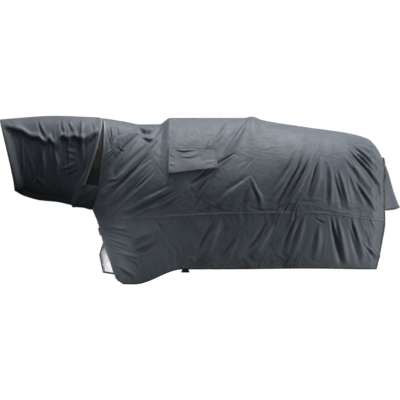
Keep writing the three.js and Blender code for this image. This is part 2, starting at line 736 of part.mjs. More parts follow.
/** A flat wire frame in the X-Z plane, centred on its lower bar. */
function wireFrame(innerLength, innerHeight) {
  const outline = new THREE.Shape();
  const half = innerLength / 2 + 2 * WIRE;
  outline.moveTo(-half, -WIRE);
  outline.lineTo(half, -WIRE);
  outline.lineTo(half, innerHeight + 3 * WIRE);
  outline.lineTo(-half, innerHeight + 3 * WIRE);
  outline.closePath();
  const hole = new THREE.Path();
  hole.moveTo(-innerLength / 2, WIRE);
  hole.lineTo(-innerLength / 2, innerHeight + WIRE);
  hole.lineTo(innerLength / 2, innerHeight + WIRE);
  hole.lineTo(innerLength / 2, WIRE);
  hole.closePath();
  outline.holes.push(hole);
  const frame = new THREE.ExtrudeGeometry(outline, { depth: 2 * WIRE, bevelEnabled: false });
  frame.translate(0, 0, -WIRE);
  frame.rotateX(Math.PI / 2);
  return frame;
}

const strapHalfSpan = () => halfWidthAt(STRAP_X, STRAP_Z) - LOOP_INSET - CLOTH - LAYER_GAP;

/** Height of the hanging strap's middle at the distance y from the centre. */
function strapHeight(y) {
  const span = strapHalfSpan() - 10;
  return STRAP_Z - STRAP_SAG * (1 - (y / span) ** 2);
}

function addBellyStrap() {
  const span = strapHalfSpan();
  const barY = span;
  const ringHole = 10;
  const frame = wireFrame(STRAP_WIDTH + 2, ringHole);
  addPart("belly_ring", frame.clone().translate(STRAP_X, barY, STRAP_Z), COLOUR.steel, 0.35, 0.9);
  addPart("belly_eye", frame.clone().translate(STRAP_X, -barY, STRAP_Z), COLOUR.steel, 0.35, 0.9);
  for (const side of [NEAR, FAR]) {
    const top = STRAP_Z + 3 * WIRE + ringHole + 46;
    const foot = STRAP_Z + 3 * WIRE + ringHole + LAYER_GAP;
    const face = halfWidthAt(STRAP_X - STRAP_WIDTH, STRAP_Z) - CLOTH - 2 * LAYER_GAP;
    const grid = [-0.5, 0.5].map((u) =>
      [top, foot].map((z) => vec(STRAP_X + u * STRAP_WIDTH, side * face, z)),
    );
    addPart(`belly_tab_${sideName(side)}`, panelGeometry(grid, side, 2 * TAPE), COLOUR.webbing);
  }

  const sleeveInner = WIRE * Math.SQRT2 + WIRE_CLEARANCE;
  const sleeveOuter = sleeveInner + STRAP_THICKNESS;
  const ring = new THREE.Shape().absarc(0, 0, sleeveOuter, 0, 2 * Math.PI, false);
  ring.holes.push(new THREE.Path().absarc(0, 0, sleeveInner, 0, 2 * Math.PI, true));
  const sleeve = new THREE.ExtrudeGeometry(ring, { depth: STRAP_WIDTH, bevelEnabled: false, curveSegments: 8 });
  sleeve.rotateY(Math.PI / 2);
  sleeve.translate(STRAP_X - STRAP_WIDTH / 2, barY, STRAP_Z);
  const start = barY - sleeveInner - 0.4 * STRAP_THICKNESS;
  const hookRoom = 22;
  const end = -barY + hookRoom;
  const level = (y) => (y > start - 1 ? STRAP_Z : strapHeight(y));
  const band = (height) =>
    steps(14).map((t) => {
      const y = lerp(start, end, t);
      return [-0.5, 0.5].map((u) => vec(STRAP_X + u * STRAP_WIDTH, y, level(y) + height));
    });
  const web = slab(band(STRAP_THICKNESS / 2), band(-STRAP_THICKNESS / 2));
  addPart("belly_strap", geometryOf(solidOf(sleeve).add(solidOf(web))), COLOUR.webbing);

  const hookShape = new THREE.Shape();
  const halfHook = STRAP_WIDTH / 2 + 2;
  const halfNeck = STRAP_WIDTH / 4;
  hookShape.moveTo(-halfHook, 0);
  hookShape.lineTo(halfHook, 0);
  hookShape.lineTo(halfHook, 9);
  hookShape.lineTo(halfNeck, 12);
  hookShape.lineTo(halfNeck, hookRoom - WIRE - WIRE_CLEARANCE - LAYER_GAP);
  hookShape.lineTo(-halfNeck, hookRoom - WIRE - WIRE_CLEARANCE - LAYER_GAP);
  hookShape.lineTo(-halfNeck, 12);
  hookShape.lineTo(-halfHook, 9);
  hookShape.closePath();
  const hook = new THREE.ExtrudeGeometry(hookShape, { depth: 2.4, bevelEnabled: false });
  hook.rotateX(Math.PI);
  hook.translate(STRAP_X, end - LAYER_GAP, level(end) + 1.2);
  addPart("belly_hook", hook, COLOUR.steel, 0.35, 0.9);

  const slideY = -0.45 * span;
  const slide = new THREE.BoxGeometry(STRAP_WIDTH + 10, 26, STRAP_THICKNESS + 7);
  const passage = new THREE.BoxGeometry(STRAP_WIDTH + 2, 40, STRAP_THICKNESS + 2.4);
  const buckle = geometryOf(solidOf(slide).subtract(solidOf(passage)));
  buckle.rotateX((2 * STRAP_SAG * slideY) / (span - 10) ** 2);
  buckle.translate(STRAP_X, slideY, strapHeight(slideY));
  addPart("belly_slide", buckle, COLOUR.plastic, 0.5);
}

// ---------------------------------------------------------------- assembly

for (const side of [NEAR, FAR]) {
  const grids = bodyGrids(side);
  addBodyPanels(side, grids);
  addWaistTape(side, grids);
  addBodyBindings(side, grids);
  addSlotFacing(side);
  addNeckCover(side);
  addCollarBand(side, grids);
  addStirrupFlap(side);
  if (side === FAR) addSpineTape(grids);
}
neckTape("crest_tape", 0, -1);
neckTape("throat_tape", 1, 1);
addThroatGusset();
addTailFlap();
addChestClosure();
addBellyStrap();

export default root;
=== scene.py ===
"""Looks for a waterproof riding sheet with a neck cover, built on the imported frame.

Metres, +Z up; only the tables of folds are in millimetres. X runs from the horse's head (-X) to its
tail (+X), and its near side is -Y. The origin lies under the spine seam where the sheet rests on the
saddle.
"""

import logging
import math
import time
from collections.abc import Callable
from dataclasses import dataclass, field
from enum import Enum

import bmesh
import bpy
import numpy as np
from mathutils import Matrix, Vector


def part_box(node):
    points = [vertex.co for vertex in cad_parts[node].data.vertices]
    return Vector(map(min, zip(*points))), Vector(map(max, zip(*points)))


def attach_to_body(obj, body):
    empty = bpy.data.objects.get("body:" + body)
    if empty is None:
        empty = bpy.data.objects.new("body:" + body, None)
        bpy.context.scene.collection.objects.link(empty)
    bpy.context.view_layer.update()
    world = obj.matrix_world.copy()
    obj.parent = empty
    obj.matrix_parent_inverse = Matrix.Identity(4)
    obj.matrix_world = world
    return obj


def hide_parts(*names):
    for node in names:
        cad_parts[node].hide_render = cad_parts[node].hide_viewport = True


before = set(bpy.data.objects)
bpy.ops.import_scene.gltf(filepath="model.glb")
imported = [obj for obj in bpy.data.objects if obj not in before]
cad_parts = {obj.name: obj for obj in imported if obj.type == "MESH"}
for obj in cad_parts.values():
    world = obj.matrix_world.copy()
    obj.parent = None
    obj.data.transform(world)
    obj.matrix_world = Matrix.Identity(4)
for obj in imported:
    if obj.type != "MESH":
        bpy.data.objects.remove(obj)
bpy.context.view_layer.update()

log = logging.getLogger("riding_sheet")
Array = np.ndarray
Material = bpy.types.Material
Object = bpy.types.Object
Socket = bpy.types.NodeSocket
Pair = tuple[float, float]
Triple = tuple[float, float, float]
Line = list[Pair]
Faces = tuple[Material, Material]

CLOTH = 0.0012
"""Thickness of the coated cloth in the panels, flaps, gusset and underlap."""
BINDING_REACH = 0.0074
"""How far a binding stands past the cloth's edge."""
TOUCH = 1e-4
"""Closer than this to the middle plane, a point counts as lying on it."""


class Side(Enum):
    """The two sides of the horse; the value is the sign of Y."""

    NEAR = -1
    FAR = 1

    @property
    def word(self) -> str:
        """The side's name in the names of pieces."""
        return "left" if self is Side.NEAR else "right"


class FoldKind(Enum):
    """The cross-section of a fold in the cloth."""

    RIDGE = "ridge"
    CREASE = "crease"


# ---- numbers to shapes


def through(stations: Line, x: Array | float) -> Array:
    """Smooth value at x through [x, value] stations, level between two equal stations.

    Args:
        stations: The stations in rising order of x.
        x: Where the value is wanted.

    Returns:
        The value at each x.
    """
    xs, ys = np.asarray(stations, float).T
    slope = np.diff(ys) / np.diff(xs)
    tangent = np.concatenate([slope[:1], np.zeros(len(xs) - 2), slope[-1:]])
    before, after = slope[:-1], slope[1:]
    bend = before * after > 0
    tangent[1:-1][bend] = 2 * (before * after)[bend] / (before + after)[bend]
    x = np.clip(np.asarray(x, float), xs[0], xs[-1])
    i = np.clip(np.searchsorted(xs, x, side="right") - 1, 0, len(xs) - 2)
    span = xs[i + 1] - xs[i]
    t = (x - xs[i]) / span
    s = 1 - t
    ends = (1 + 2 * t) * s * s * ys[i] + (3 - 2 * t) * t * t * ys[i + 1]
    return ends + span * t * s * (s * tangent[i] - t * tangent[i + 1])


def stations(*points: Pair) -> Line:
    """A dataclass field that holds a line's stations."""
    return field(default_factory=lambda: list(points))


def smooth(x: Array | float, low: float, high: float) -> Array:
    """Smooth step from 0 at low to 1 at high."""
    t = np.clip((np.asarray(x, float) - low) / (high - low), 0, 1)
    return t * t * (3 - 2 * t)


def lerp(a: Array | float, b: Array | float, t: Array | float) -> Array | float:
    """The value a share t of the way from a to b."""
    return a + (b - a) * t


def lengths_along(points: Array) -> Array:
    """How far along a line of straight stretches each of its corners is."""
    return np.concatenate([[0], np.cumsum(np.linalg.norm(np.diff(points, axis=0), axis=1))])


def between(at: Array, known: Array, values: Array) -> Array:
    """Rows of values at places between the known ones."""
    return np.stack([np.interp(at, known, values[:, k]) for k in range(values.shape[1])], axis=1)


def spaced(points: Array, shares: Array) -> Array:
    """Points at shares of the length of a line of straight stretches.

    Args:
        points: The line's corners, one row each.
        shares: Shares of its length, 0 to 1.

    Returns:
        One point for each share.
    """
    length = lengths_along(points)
    return between(shares * length[-1], length, points)


def unit(vectors: Array) -> Array:
    """The vectors at length one."""
    return vectors / np.maximum(np.linalg.norm(vectors, axis=-1, keepdims=True), 1e-12)


def value_noise(u: Array, v: Array, seed: int) -> Array:
    """Smooth noise from -1 to 1 with one bump for each unit of u and v.

    Args:
        u: First coordinate.
        v: Second coordinate.
        seed: Which noise.

    Returns:
        The noise at each point.
    """
    cells = 64
    table = np.random.default_rng(seed).uniform(-1, 1, (cells, cells))
    iu, iv = np.floor(u).astype(int), np.floor(v).astype(int)
    fu, fv = u - iu, v - iv
    su, sv = fu * fu * fu * (fu * (fu * 6 - 15) + 10), fv * fv * fv * (fv * (fv * 6 - 15) + 10)

    def corner(a: int, b: int) -> Array:
        """The noise at one corner of each cell."""
        return table[(iu + a) % cells, (iv + b) % cells]

    return lerp(lerp(corner(0, 0), corner(1, 0), su), lerp(corner(0, 1), corner(1, 1), su), sv)


def grid_normals(grid: Array, side: Side) -> Array:
    """Unit normals of a grid, away from the horse.

    Args:
        grid: Columns from front to back, rows from top to bottom.
        side: Which way is outwards.

    Returns:
        One normal for each point.
    """
    normal = unit(np.cross(np.gradient(grid, axis=0), np.gradient(grid, axis=1))) * side.value
    normal[..., 1][np.abs(grid[..., 1]) < TOUCH] = 0
    return unit(normal)


def arc_map(grid: Array) -> Array:
    """Flat pattern coordinates of a grid.

    Args:
        grid: Columns from front to back, rows from top to bottom.

    Returns:
        Metres along its columns and its rows, for each point.
    """
    along = np.linalg.norm(np.diff(grid, axis=0), axis=2)
    down = np.linalg.norm(np.diff(grid, axis=1), axis=2)
    u = np.concatenate([np.zeros((1, grid.shape[1])), np.cumsum(along, axis=0)])
    v = np.concatenate([np.zeros((grid.shape[0], 1)), np.cumsum(down, axis=1)], axis=1)
    return np.stack([u - u.mean(axis=0, keepdims=True), v], axis=2)


def quad_corners(grid: Array) -> Array:
    """The four corner numbers of each quad of a grid of columns and rows."""
    columns, rows = grid.shape[:2]
    number = np.arange(columns * rows).reshape(columns, rows)
    return np.stack([number[:-1, :-1], number[1:, :-1], number[1:, 1:], number[:-1, 1:]], axis=2)


# ---- finishes


class Sketch:
    """A node material being put together."""

    def __init__(self, name: str) -> None:
        """Starts an empty material with a Principled shader.

        Args:
            name: The material's name.
        """
        self.material = bpy.data.materials.new(name)
        self.material.use_nodes = True
        self.tree = self.material.node_tree
        self.tree.nodes.clear()
        self.shader = self.tree.nodes.new("ShaderNodeBsdfPrincipled")
        output = self.tree.nodes.new("ShaderNodeOutputMaterial")
        self.tree.links.new(self.shader.outputs[0], output.inputs[0])

    def node(self, kind: str, inputs: dict | None = None, **settings: object) -> bpy.types.Node:
        """Adds a node.

        Args:
            kind: The node's type, without its ShaderNode prefix.
            inputs: Values or sockets for its inputs, by name or index.
            settings: Its own settings.

        Returns:
            The node.
        """
        made = self.tree.nodes.new("ShaderNode" + kind)
        for key, value in settings.items():
            setattr(made, key, value)
        for key, value in (inputs or {}).items():
            self.put(made.inputs[key], value)
        return made

    def put(self, socket: Socket, value: object) -> None:
        """Sets a socket to a value, or links it to another socket."""
        if isinstance(value, Socket):
            self.tree.links.new(value, socket)
        else:
            socket.default_value = value

    def set(self, **values: object) -> None:
        """Sets the shader's sockets, words joined by underscores."""
        for key, value in values.items():
            self.put(self.shader.inputs[key.replace("_", " ")], value)

    def coords(self, own_map: bool, scale: Triple = (1, 1, 1)) -> Socket:
        """Coordinates of the piece.

        Args:
            own_map: The piece's own flat map, in place of its object coordinates.
            scale: How far the coordinates are stretched.

        Returns:
            The coordinate socket.
        """
        source = self.node("TexCoord").outputs["UV" if own_map else "Object"]
        return self.node("Mapping", {"Vector": source, "Scale": scale}).outputs[0]

    def noise(self, where: Socket, scale: float, detail: float = 3, rough: float = 0.5) -> Socket:
        """A noise value at the coordinates."""
        values = {"Vector": where, "Scale": scale, "Detail": detail, "Roughness": rough}
        return self.node("TexNoise", values).outputs["Fac"]

    def ramp(self, value: Socket, low: float, high: float, to_low: float, to_high: float) -> Socket:
        """A value carried from one range to another, held at its ends."""
        values = {"Value": value, "From Min": low, "From Max": high, "To Min": to_low, "To Max": to_high}
        return self.node("MapRange", values).outputs[0]

    def blend(self, share: Socket, a: Triple | Socket, b: Triple | Socket) -> Socket:
        """A colour between two others.

        Args:
            share: How far from the first to the second.
            a: The first colour, or a socket that gives it.
            b: The second colour, or a socket that gives it.

        Returns:
            The colour socket.
        """
        made = self.node("Mix", data_type="RGBA")
        self.put(made.inputs[0], share)
        for place, colour in ((6, a), (7, b)):
            self.put(made.inputs[place], colour if isinstance(colour, Socket) else (*colour, 1))
        return made.outputs[2]

    def wave(self, where: Socket, scale: float, direction: str, profile: str = "SIN") -> Socket:
        """Straight bands across one direction."""
        settings = {"wave_type": "BANDS", "bands_direction": direction, "wave_profile": profile}
        return self.node("TexWave", {"Vector": where, "Scale": scale}, **settings).outputs["Fac"]

    def maths(self, operation: str, a: object, b: object) -> Socket:
        """The result of one sum on two values."""
        return self.node("Math", {0: a, 1: b}, operation=operation).outputs[0]

    def bump(self, *layers: tuple[Socket, float, float]) -> None:
        """Bumps the surface.

        Args:
            layers: The height, strength and distance of each layer.
        """
        normal = None
        for height, strength, distance in layers:
            values = {"Height": height, "Strength": strength, "Distance": distance}
            if normal is not None:
                values["Normal"] = normal
            normal = self.node("Bump", values).outputs[0]
        self.put(self.shader.inputs["Normal"], normal)


@dataclass(frozen=True)
class ShellCloth:
    """Coated nylon, smooth and faintly crinkled, with a fine plain weave."""

    name: str = "shell_cloth"
    dark: Triple = (0.031, 0.039, 0.049)
    light: Triple = (0.043, 0.053, 0.066)
    roughness: Pair = (0.6, 0.72)
    sheen: float = 0.1
    weave: float = 900.0
    crinkle: float = 0.0011

    def make(self) -> Material:
        """The finished material."""
        s = Sketch(self.name)
        flat = s.coords(True)
        patches = s.noise(flat, 7, 4, 0.6)
        rubs = s.noise(flat, 46, 5, 0.65)
        tone = s.blend(s.ramp(patches, 0.3, 0.7, 0, 1), self.dark, self.light)
        rubbed = tuple(1.25 * c for c in self.light)
        s.set(Base_Color=s.blend(s.ramp(rubs, 0.45, 0.75, 0, 0.35), tone, rubbed))
        s.set(Roughness=s.ramp(s.noise(flat, 24, 4), 0.3, 0.7, *self.roughness))
        s.set(Sheen_Weight=self.sheen, Sheen_Roughness=0.35, Sheen_Tint=(0.86, 0.93, 1, 1))
        s.set(Specular_IOR_Level=0.42)
        threads = s.maths("MULTIPLY", s.wave(flat, self.weave / 3, "X"), s.wave(flat, self.weave / 3, "Y"))
        s.bump(
            (s.noise(flat, 15, 3, 0.45), 0.5, 3 * self.crinkle),
            (s.noise(flat, 42, 4, 0.55), 0.5, self.crinkle),
            (threads, 0.12, 0.0003),
        )
        return s.material


@dataclass(frozen=True)
class ReverseCoating:
    """The pale waterproof coating on the cloth's inner face."""

    name: str = "reverse_coating"
    dark: Triple = (0.6, 0.61, 0.62)
    light: Triple = (0.74, 0.74, 0.75)

    def make(self) -> Material:
        """The finished material."""
        s = Sketch(self.name)
        flat = s.coords(True)
        s.set(Base_Color=s.blend(s.ramp(s.noise(flat, 11, 4, 0.6), 0.3, 0.7, 0, 1), self.dark, self.light))
        s.set(Roughness=s.ramp(s.noise(flat, 60, 3), 0.3, 0.7, 0.42, 0.58), Specular_IOR_Level=0.45)
        s.bump((s.noise(flat, 30, 4), 0.45, 0.0012), (s.wave(flat, 320, "Y"), 0.1, 0.0002))
        return s.material


@dataclass(frozen=True)
class Woven:
    """A narrow woven tape or webbing: ribs across it and a herringbone along it."""

    name: str
    dark: Triple
    light: Triple
    ribs: float = 500.0
    depth: float = 0.0005
    roughness: float = 0.72

    def make(self) -> Material:
        """The finished material."""
        s = Sketch(self.name)
        flat = s.coords(True)
        slant = s.node("Mapping", {"Vector": flat, "Rotation": (0, 0, 0.7)}).outputs[0]
        ribs = s.wave(slant, self.ribs / 3, "X", "TRI")
        picks = s.wave(flat, self.ribs / 2, "Y")
        fuzz = s.noise(flat, 900, 2)
        lit = s.maths("MULTIPLY", ribs, s.ramp(fuzz, 0.3, 0.7, 0.6, 1))
        s.set(Base_Color=s.blend(lit, self.dark, self.light))
        s.set(Roughness=s.ramp(s.noise(flat, 80, 3), 0.3, 0.7, self.roughness - 0.08, self.roughness + 0.08))
        s.set(Sheen_Weight=0.12, Sheen_Roughness=0.5)
        s.bump((ribs, 0.5, self.depth), (picks, 0.35, self.depth / 2), (fuzz, 0.2, 0.0002))
        return s.material


@dataclass(frozen=True)
class HookAndLoop:
    """Touch fastener: a matt pile of hooks or of brushed loops."""

    name: str
    pile: float
    tone: float = 0.012

    def make(self) -> Material:
        """The finished material."""
        s = Sketch(self.name)
        place = s.coords(False)
        cells = s.node("TexVoronoi", {"Vector": place, "Scale": self.pile}).outputs["Distance"]
        fuzz = s.noise(place, self.pile * 1.7, 4, 0.7)
        s.set(Base_Color=s.blend(s.ramp(fuzz, 0.3, 0.7, 0, 1), (self.tone,) * 3, (2.6 * self.tone,) * 3))
        s.set(Roughness=s.ramp(fuzz, 0.3, 0.7, 0.82, 0.97), Sheen_Weight=0.06, Sheen_Roughness=0.6)
        s.bump((cells, 0.8, 0.0012), (fuzz, 0.6, 0.0006))
        return s.material


@dataclass(frozen=True)
class Steel:
    """Nickel-plated steel wire and plate, rubbed bright along its length."""

    name: str = "nickel_plate"
    dark: Triple = (0.56, 0.56, 0.55)
    light: Triple = (0.68, 0.67, 0.65)

    def make(self) -> Material:
        """The finished material."""
        s = Sketch(self.name)
        place = s.coords(False)
        rubbed = s.noise(s.coords(False, (40, 900, 900)), 1, 3)
        specks = s.noise(place, 700, 4, 0.7)
        s.set(Base_Color=s.blend(s.ramp(s.noise(place, 120, 4), 0.35, 0.7, 0, 1), self.dark, self.light))
        s.set(Metallic=1.0, Roughness=s.ramp(rubbed, 0.3, 0.7, 0.22, 0.4))
        s.bump((rubbed, 0.15, 0.0002), (specks, 0.12, 0.0002))
        return s.material


@dataclass(frozen=True)
class Moulded:
    """Black moulded nylon with a fine spark-eroded grain."""

    name: str = "moulded_nylon"
    dark: Triple = (0.012, 0.012, 0.013)
    scuffed: Triple = (0.035, 0.035, 0.037)

    def make(self) -> Material:
        """The finished material."""
        s = Sketch(self.name)
        place = s.coords(False)
        grain = s.noise(place, 1500, 3, 0.7)
        scuffs = s.noise(place, 160, 5, 0.7)
        s.set(Base_Color=s.blend(s.ramp(scuffs, 0.5, 0.75, 0, 1), self.dark, self.scuffed))
        s.set(Roughness=s.ramp(scuffs, 0.3, 0.7, 0.4, 0.6))
        s.bump((grain, 0.3, 0.0002))
        return s.material


@dataclass(frozen=True)
class StudioFloor:
    """The pale floor under the sheet."""

    name: str = "studio_floor"

    def make(self) -> Material:
        """The finished material."""
        s = Sketch(self.name)
        place = s.coords(False)
        s.set(Base_Color=s.blend(s.noise(place, 0.6, 2), (0.4,) * 3, (0.44,) * 3), Roughness=0.9)
        s.set(Emission_Color=(1, 1, 1, 1), Emission_Strength=0.82)
        return s.material


class Finishes:
    """Every material of the sheet, made once."""

    def __init__(self) -> None:
        """Makes the materials."""
        self.shell = ShellCloth().make()
        # The gusset cloth is the shell cloth in darker colours: painted shade for the recess at the throat
        # and under the collar.
        self.gusset = ShellCloth("gusset_cloth_painted_shade", (0.021, 0.024, 0.028), (0.038, 0.043, 0.048)).make()
        self.reverse = ReverseCoating().make()
        self.binding = Woven("edge_binding", (0.006, 0.0065, 0.007), (0.016, 0.017, 0.018), 700).make()
        # The grey piping is paler than the cloth: its own grey plus a painted highlight along the piped
        # edges.
        highlight_piping = Woven("grey_highlight_piping", (0.055, 0.06, 0.068), (0.11, 0.118, 0.126), 900, 0.0003, 0.5)
        self.highlight_piping = highlight_piping.make()
        webbing = Woven("black_webbing", (0.009, 0.009, 0.01), (0.028, 0.029, 0.031), 420, 0.0008)
        self.webbing = webbing.make()
        self.tape = Woven("seam_tape", (0.06, 0.063, 0.068), (0.13, 0.135, 0.14), 800, 0.0003, 0.55).make()
        thread = Woven("sewing_thread", (0.035, 0.038, 0.042), (0.11, 0.115, 0.12), 2600, 0.0003)
        self.thread = thread.make()
        self.hooks = HookAndLoop("hook_tape", 1100, 0.008).make()
        self.loops = HookAndLoop("loop_tape", 700, 0.006).make()
        self.steel = Steel().make()
        self.plastic = Moulded().make()


# ---- mesh helpers


def add_object(
    name: str, verts: Array, faces: list[list[int]], uv: Array | None, material: Material
) -> Object:
    """Makes a mesh object at the origin.

    Args:
        name: The piece's name.
        verts: Vertex places.
        faces: Vertex numbers of each face.
        uv: Flat map of each vertex, or None.
        material: Its material.

    Returns:
        The object.
    """
    mesh = bpy.data.meshes.new(name)
    mesh.from_pydata(np.asarray(verts).tolist(), [], faces)
    if uv is not None:
        layer = mesh.uv_layers.new(name="UVMap")
        index = np.empty(len(mesh.loops), int)
        mesh.loops.foreach_get("vertex_index", index)
        layer.data.foreach_set("uv", np.asarray(uv)[index].astype(np.float32).ravel())
    mesh.polygons.foreach_set("use_smooth", [True] * len(mesh.polygons))
    mesh.materials.append(material)
    mesh.update()
    made = bpy.data.objects.new(name, mesh)
    bpy.context.scene.collection.objects.link(made)
    return made


def only(obj: Object) -> None:
    """Makes one object the only one selected, and active."""
    bpy.ops.object.select_all(action="DESELECT")
    obj.select_set(True)
    bpy.context.view_layer.objects.active = obj


def apply_all(obj: Object) -> None:
    """Applies every modifier on the object."""
    only(obj)
    for modifier in list(obj.modifiers):
        bpy.ops.object.modifier_apply(modifier=modifier.name)


def cloth_from_grid(
    name: str,
    grid: Array,
    side: Side,
    thickness: float,
    outer: Material,
    inner: Material,
    uv: Array | None = None,
    keep: Array | None = None,
) -> Object:
    """A sheet of cloth whose outer face is the grid.

    Args:
        name: The piece's name.
        grid: Columns from front to back, rows from top to bottom.
        side: Which way is outwards.
        thickness: The cloth's thickness, towards the horse.
        outer: Material of the outer face.
        inner: Material of the inner face.
        uv: Its flat map, or None to measure one.
        keep: Which quads are kept, or None for all.

    Returns:
        The object, as a closed shell.
    """
    quads = quad_corners(grid)
    if side is Side.NEAR:
        quads = quads[..., ::-1]
    quads = quads.reshape(-1, 4) if keep is None else quads[keep]
    flat = (arc_map(grid) if uv is None else uv).reshape(-1, 2)
    used, index = np.unique(quads, return_inverse=True)
    made = add_object(name, grid.reshape(-1, 3)[used], index.reshape(-1, 4).tolist(), flat[used], outer)
    made.data.materials.append(inner)
    wall = made.modifiers.new("cloth_thickness", "SOLIDIFY")
    wall.thickness, wall.offset = thickness, -1
    wall.material_offset, wall.material_offset_rim = 1, 0
    apply_all(made)
    return made


def sweep(
    name: str, line: Array, across: Array, normals: Array, section: Line, material: Material
) -> Object:
    """A closed strip with one section all along a line.

    Args:
        name: The piece's name.
        line: Points along the strip.
        across: Unit direction of the section's first number at each point.
        normals: Unit direction of the section's second number at each point.
        section: The section's corners in order, in metres.
        material: Its material.

    Returns:
        The object.
    """
    shape = np.asarray(section, float)
    verts = line[:, None] + across[:, None] * shape[None, :, :1] + normals[:, None] * shape[None, :, 1:]
    count, corners = verts.shape[:2]
    number = np.arange(count * corners).reshape(count, corners)
    after = np.roll(number, -1, axis=1)
    quads = np.stack([number[:-1], after[:-1], after[1:], number[1:]], axis=2).reshape(-1, 4).tolist()
    faces = quads + [number[0][::-1].tolist(), number[-1].tolist()]
    along = lengths_along(line)
    flat = np.stack([np.repeat(along, corners), np.tile(shape[:, 0], count)], axis=1)
    made = add_object(name, verts.reshape(-1, 3), faces, flat, material)
    work = bmesh.new()
    work.from_mesh(made.data)
    bmesh.ops.recalc_face_normals(work, faces=work.faces)
    work.to_mesh(made.data)
    work.free()
    return made


def tape_section(width: float, low: float, high: float, crown: float = 0.0) -> Line:
    """Section of a flat tape with rounded edges.

    Args:
        width: Its full width.
        low: Height of its under face.
        high: Height of its upper face at the edges.
        crown: How much higher its middle is.

    Returns:
        The section's corners.
    """
    half, mid, lip = width / 2, (low + high) / 2, min((high - low) / 2, width / 6)
    top = [(half * t, high + crown * (1 - t * t)) for t in (0.8, 0.4, 0, -0.4, -0.8)]
    turn = half - lip * 0.4
    return [(half, mid), (turn, high), *top, (-turn, high), (-half, mid), (-turn, low), (turn, low)]


def binding_section(reach: float, cloth: float) -> Line:
    """Section of a bias binding folded over a cloth edge; the first number points out past the edge.

    Args:
        reach: How far it stands past the edge.
        cloth: Thickness of the cloth it holds.

    Returns:
        The section's corners.
    """
    proud, back = 0.0011, -0.0042
    upper = [(back, 0.0005), (back + 0.0012, proud), (0.002, proud + 0.0003)]
    upper += [(reach - 0.002, proud), (reach, 0.0)]
    lower = [(a, -cloth - h) for a, h in reversed(upper[:-1])]
    return upper + [(reach, -cloth)] + lower


def attach(piece: Object, body: str, slot: str, *nodes: str) -> None:
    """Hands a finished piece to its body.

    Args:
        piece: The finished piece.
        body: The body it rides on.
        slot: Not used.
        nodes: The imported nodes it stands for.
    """
    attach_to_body(piece, body)
    if nodes:
        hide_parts(*nodes)
    log.info("%s rides on %s", piece.name, body)


@dataclass
class StitchMaker:
    """Sews rows of lockstitch: one stitch is modelled and copied along a line."""

    finishes: Finishes
    pitch: float = 0.0085
    length: float = 0.0058
    thread: float = 0.0011
    from_edge: float = 0.0022
    on_binding: float = 0.0014

    def __post_init__(self) -> None:
        """Models the one stitch."""
        bpy.ops.object.select_all(action="DESELECT")
        bpy.ops.mesh.primitive_uv_sphere_add(segments=6, ring_count=4, radius=0.5)
        stitch = bpy.context.object
        bpy.ops.object.mode_set(mode="EDIT")
        bpy.ops.mesh.select_all(action="SELECT")
        bpy.ops.transform.resize(value=(self.thread, self.thread, self.length))
        bpy.ops.object.mode_set(mode="OBJECT")
        self.shape = np.array([v.co for v in stitch.data.vertices], float)[:, [2, 0, 1]]
        self.faces = [list(p.vertices) for p in stitch.data.polygons]
        bpy.data.objects.remove(stitch)

    def sew(self, name: str, line: Array, normals: Array, lift: float, body: str) -> None:
        """Sews one row.

        Args:
            name: The piece's name.
            line: Points along the row.
            normals: Unit normals there.
            lift: Height above the line.
            body: The body it rides on.
        """
        along, near = lengths_along(line), 0.001
        at = np.arange(self.pitch / 2, along[-1], self.pitch)
        place = between(at, along, line)
        ahead = between(at + near, along, line) - between(at - near, along, line)
        up = unit(between(at, along, normals))
        ahead = unit(ahead - up * (ahead * up).sum(axis=1, keepdims=True))
        sideways = np.cross(up, ahead)
        frames = np.stack([ahead, sideways, up], axis=1)
        verts = (place + lift * up)[:, None] + np.einsum("vk,nkj->nvj", self.shape, frames)
        step = len(self.shape)
        faces = [[v + n * step for v in f] for n in range(len(at)) for f in self.faces]
        flat = np.repeat(at, step)
        uv = np.stack([flat, flat * 0], axis=1)
        attach(add_object(name, verts.reshape(-1, 3), faces, uv, self.finishes.thread), body, "binding")

    def sew_pair(
        self, stem: str, end: str, line: Array, aside: Array, normals: Array, lift: float, body: str
    ) -> None:
        """Sews two rows, one to each side of a line.

        Args:
            stem: The pieces' name before their number.
            end: The pieces' name after it.
            line: Points on the line.
            aside: How far the second row is from the line at each point.
            normals: Unit normals there.
            lift: Height above the line.
            body: The body they ride on.
        """
        for n, sign in enumerate((-1, 1)):
            self.sew(f"{stem}_{n}{end}", line + sign * aside, normals, lift, body)

    def bind(
        self, place: str, end: str, edge: Array, across: Array, normals: Array, material: Material, body: str
    ) -> None:
        """Folds a binding over an edge and sews it.

        Args:
            place: Which edge it is.
            end: The end of the names of its pieces.
            edge: Points along the edge.
            across: Unit direction out past the edge at each point.
            normals: Unit normals there.
            material: The binding's material.
            body: The body it rides on.
        """
        section = binding_section(BINDING_REACH, CLOTH)
        bound = sweep(f"{place}_edge{end}", edge, across, normals, section, material)
        attach(bound, body, "binding", f"{place}_binding{end}")
        row = edge - across * self.from_edge
        self.sew(f"{place}_edge_stitch{end}", row, normals, self.on_binding, body)


# ---- folds


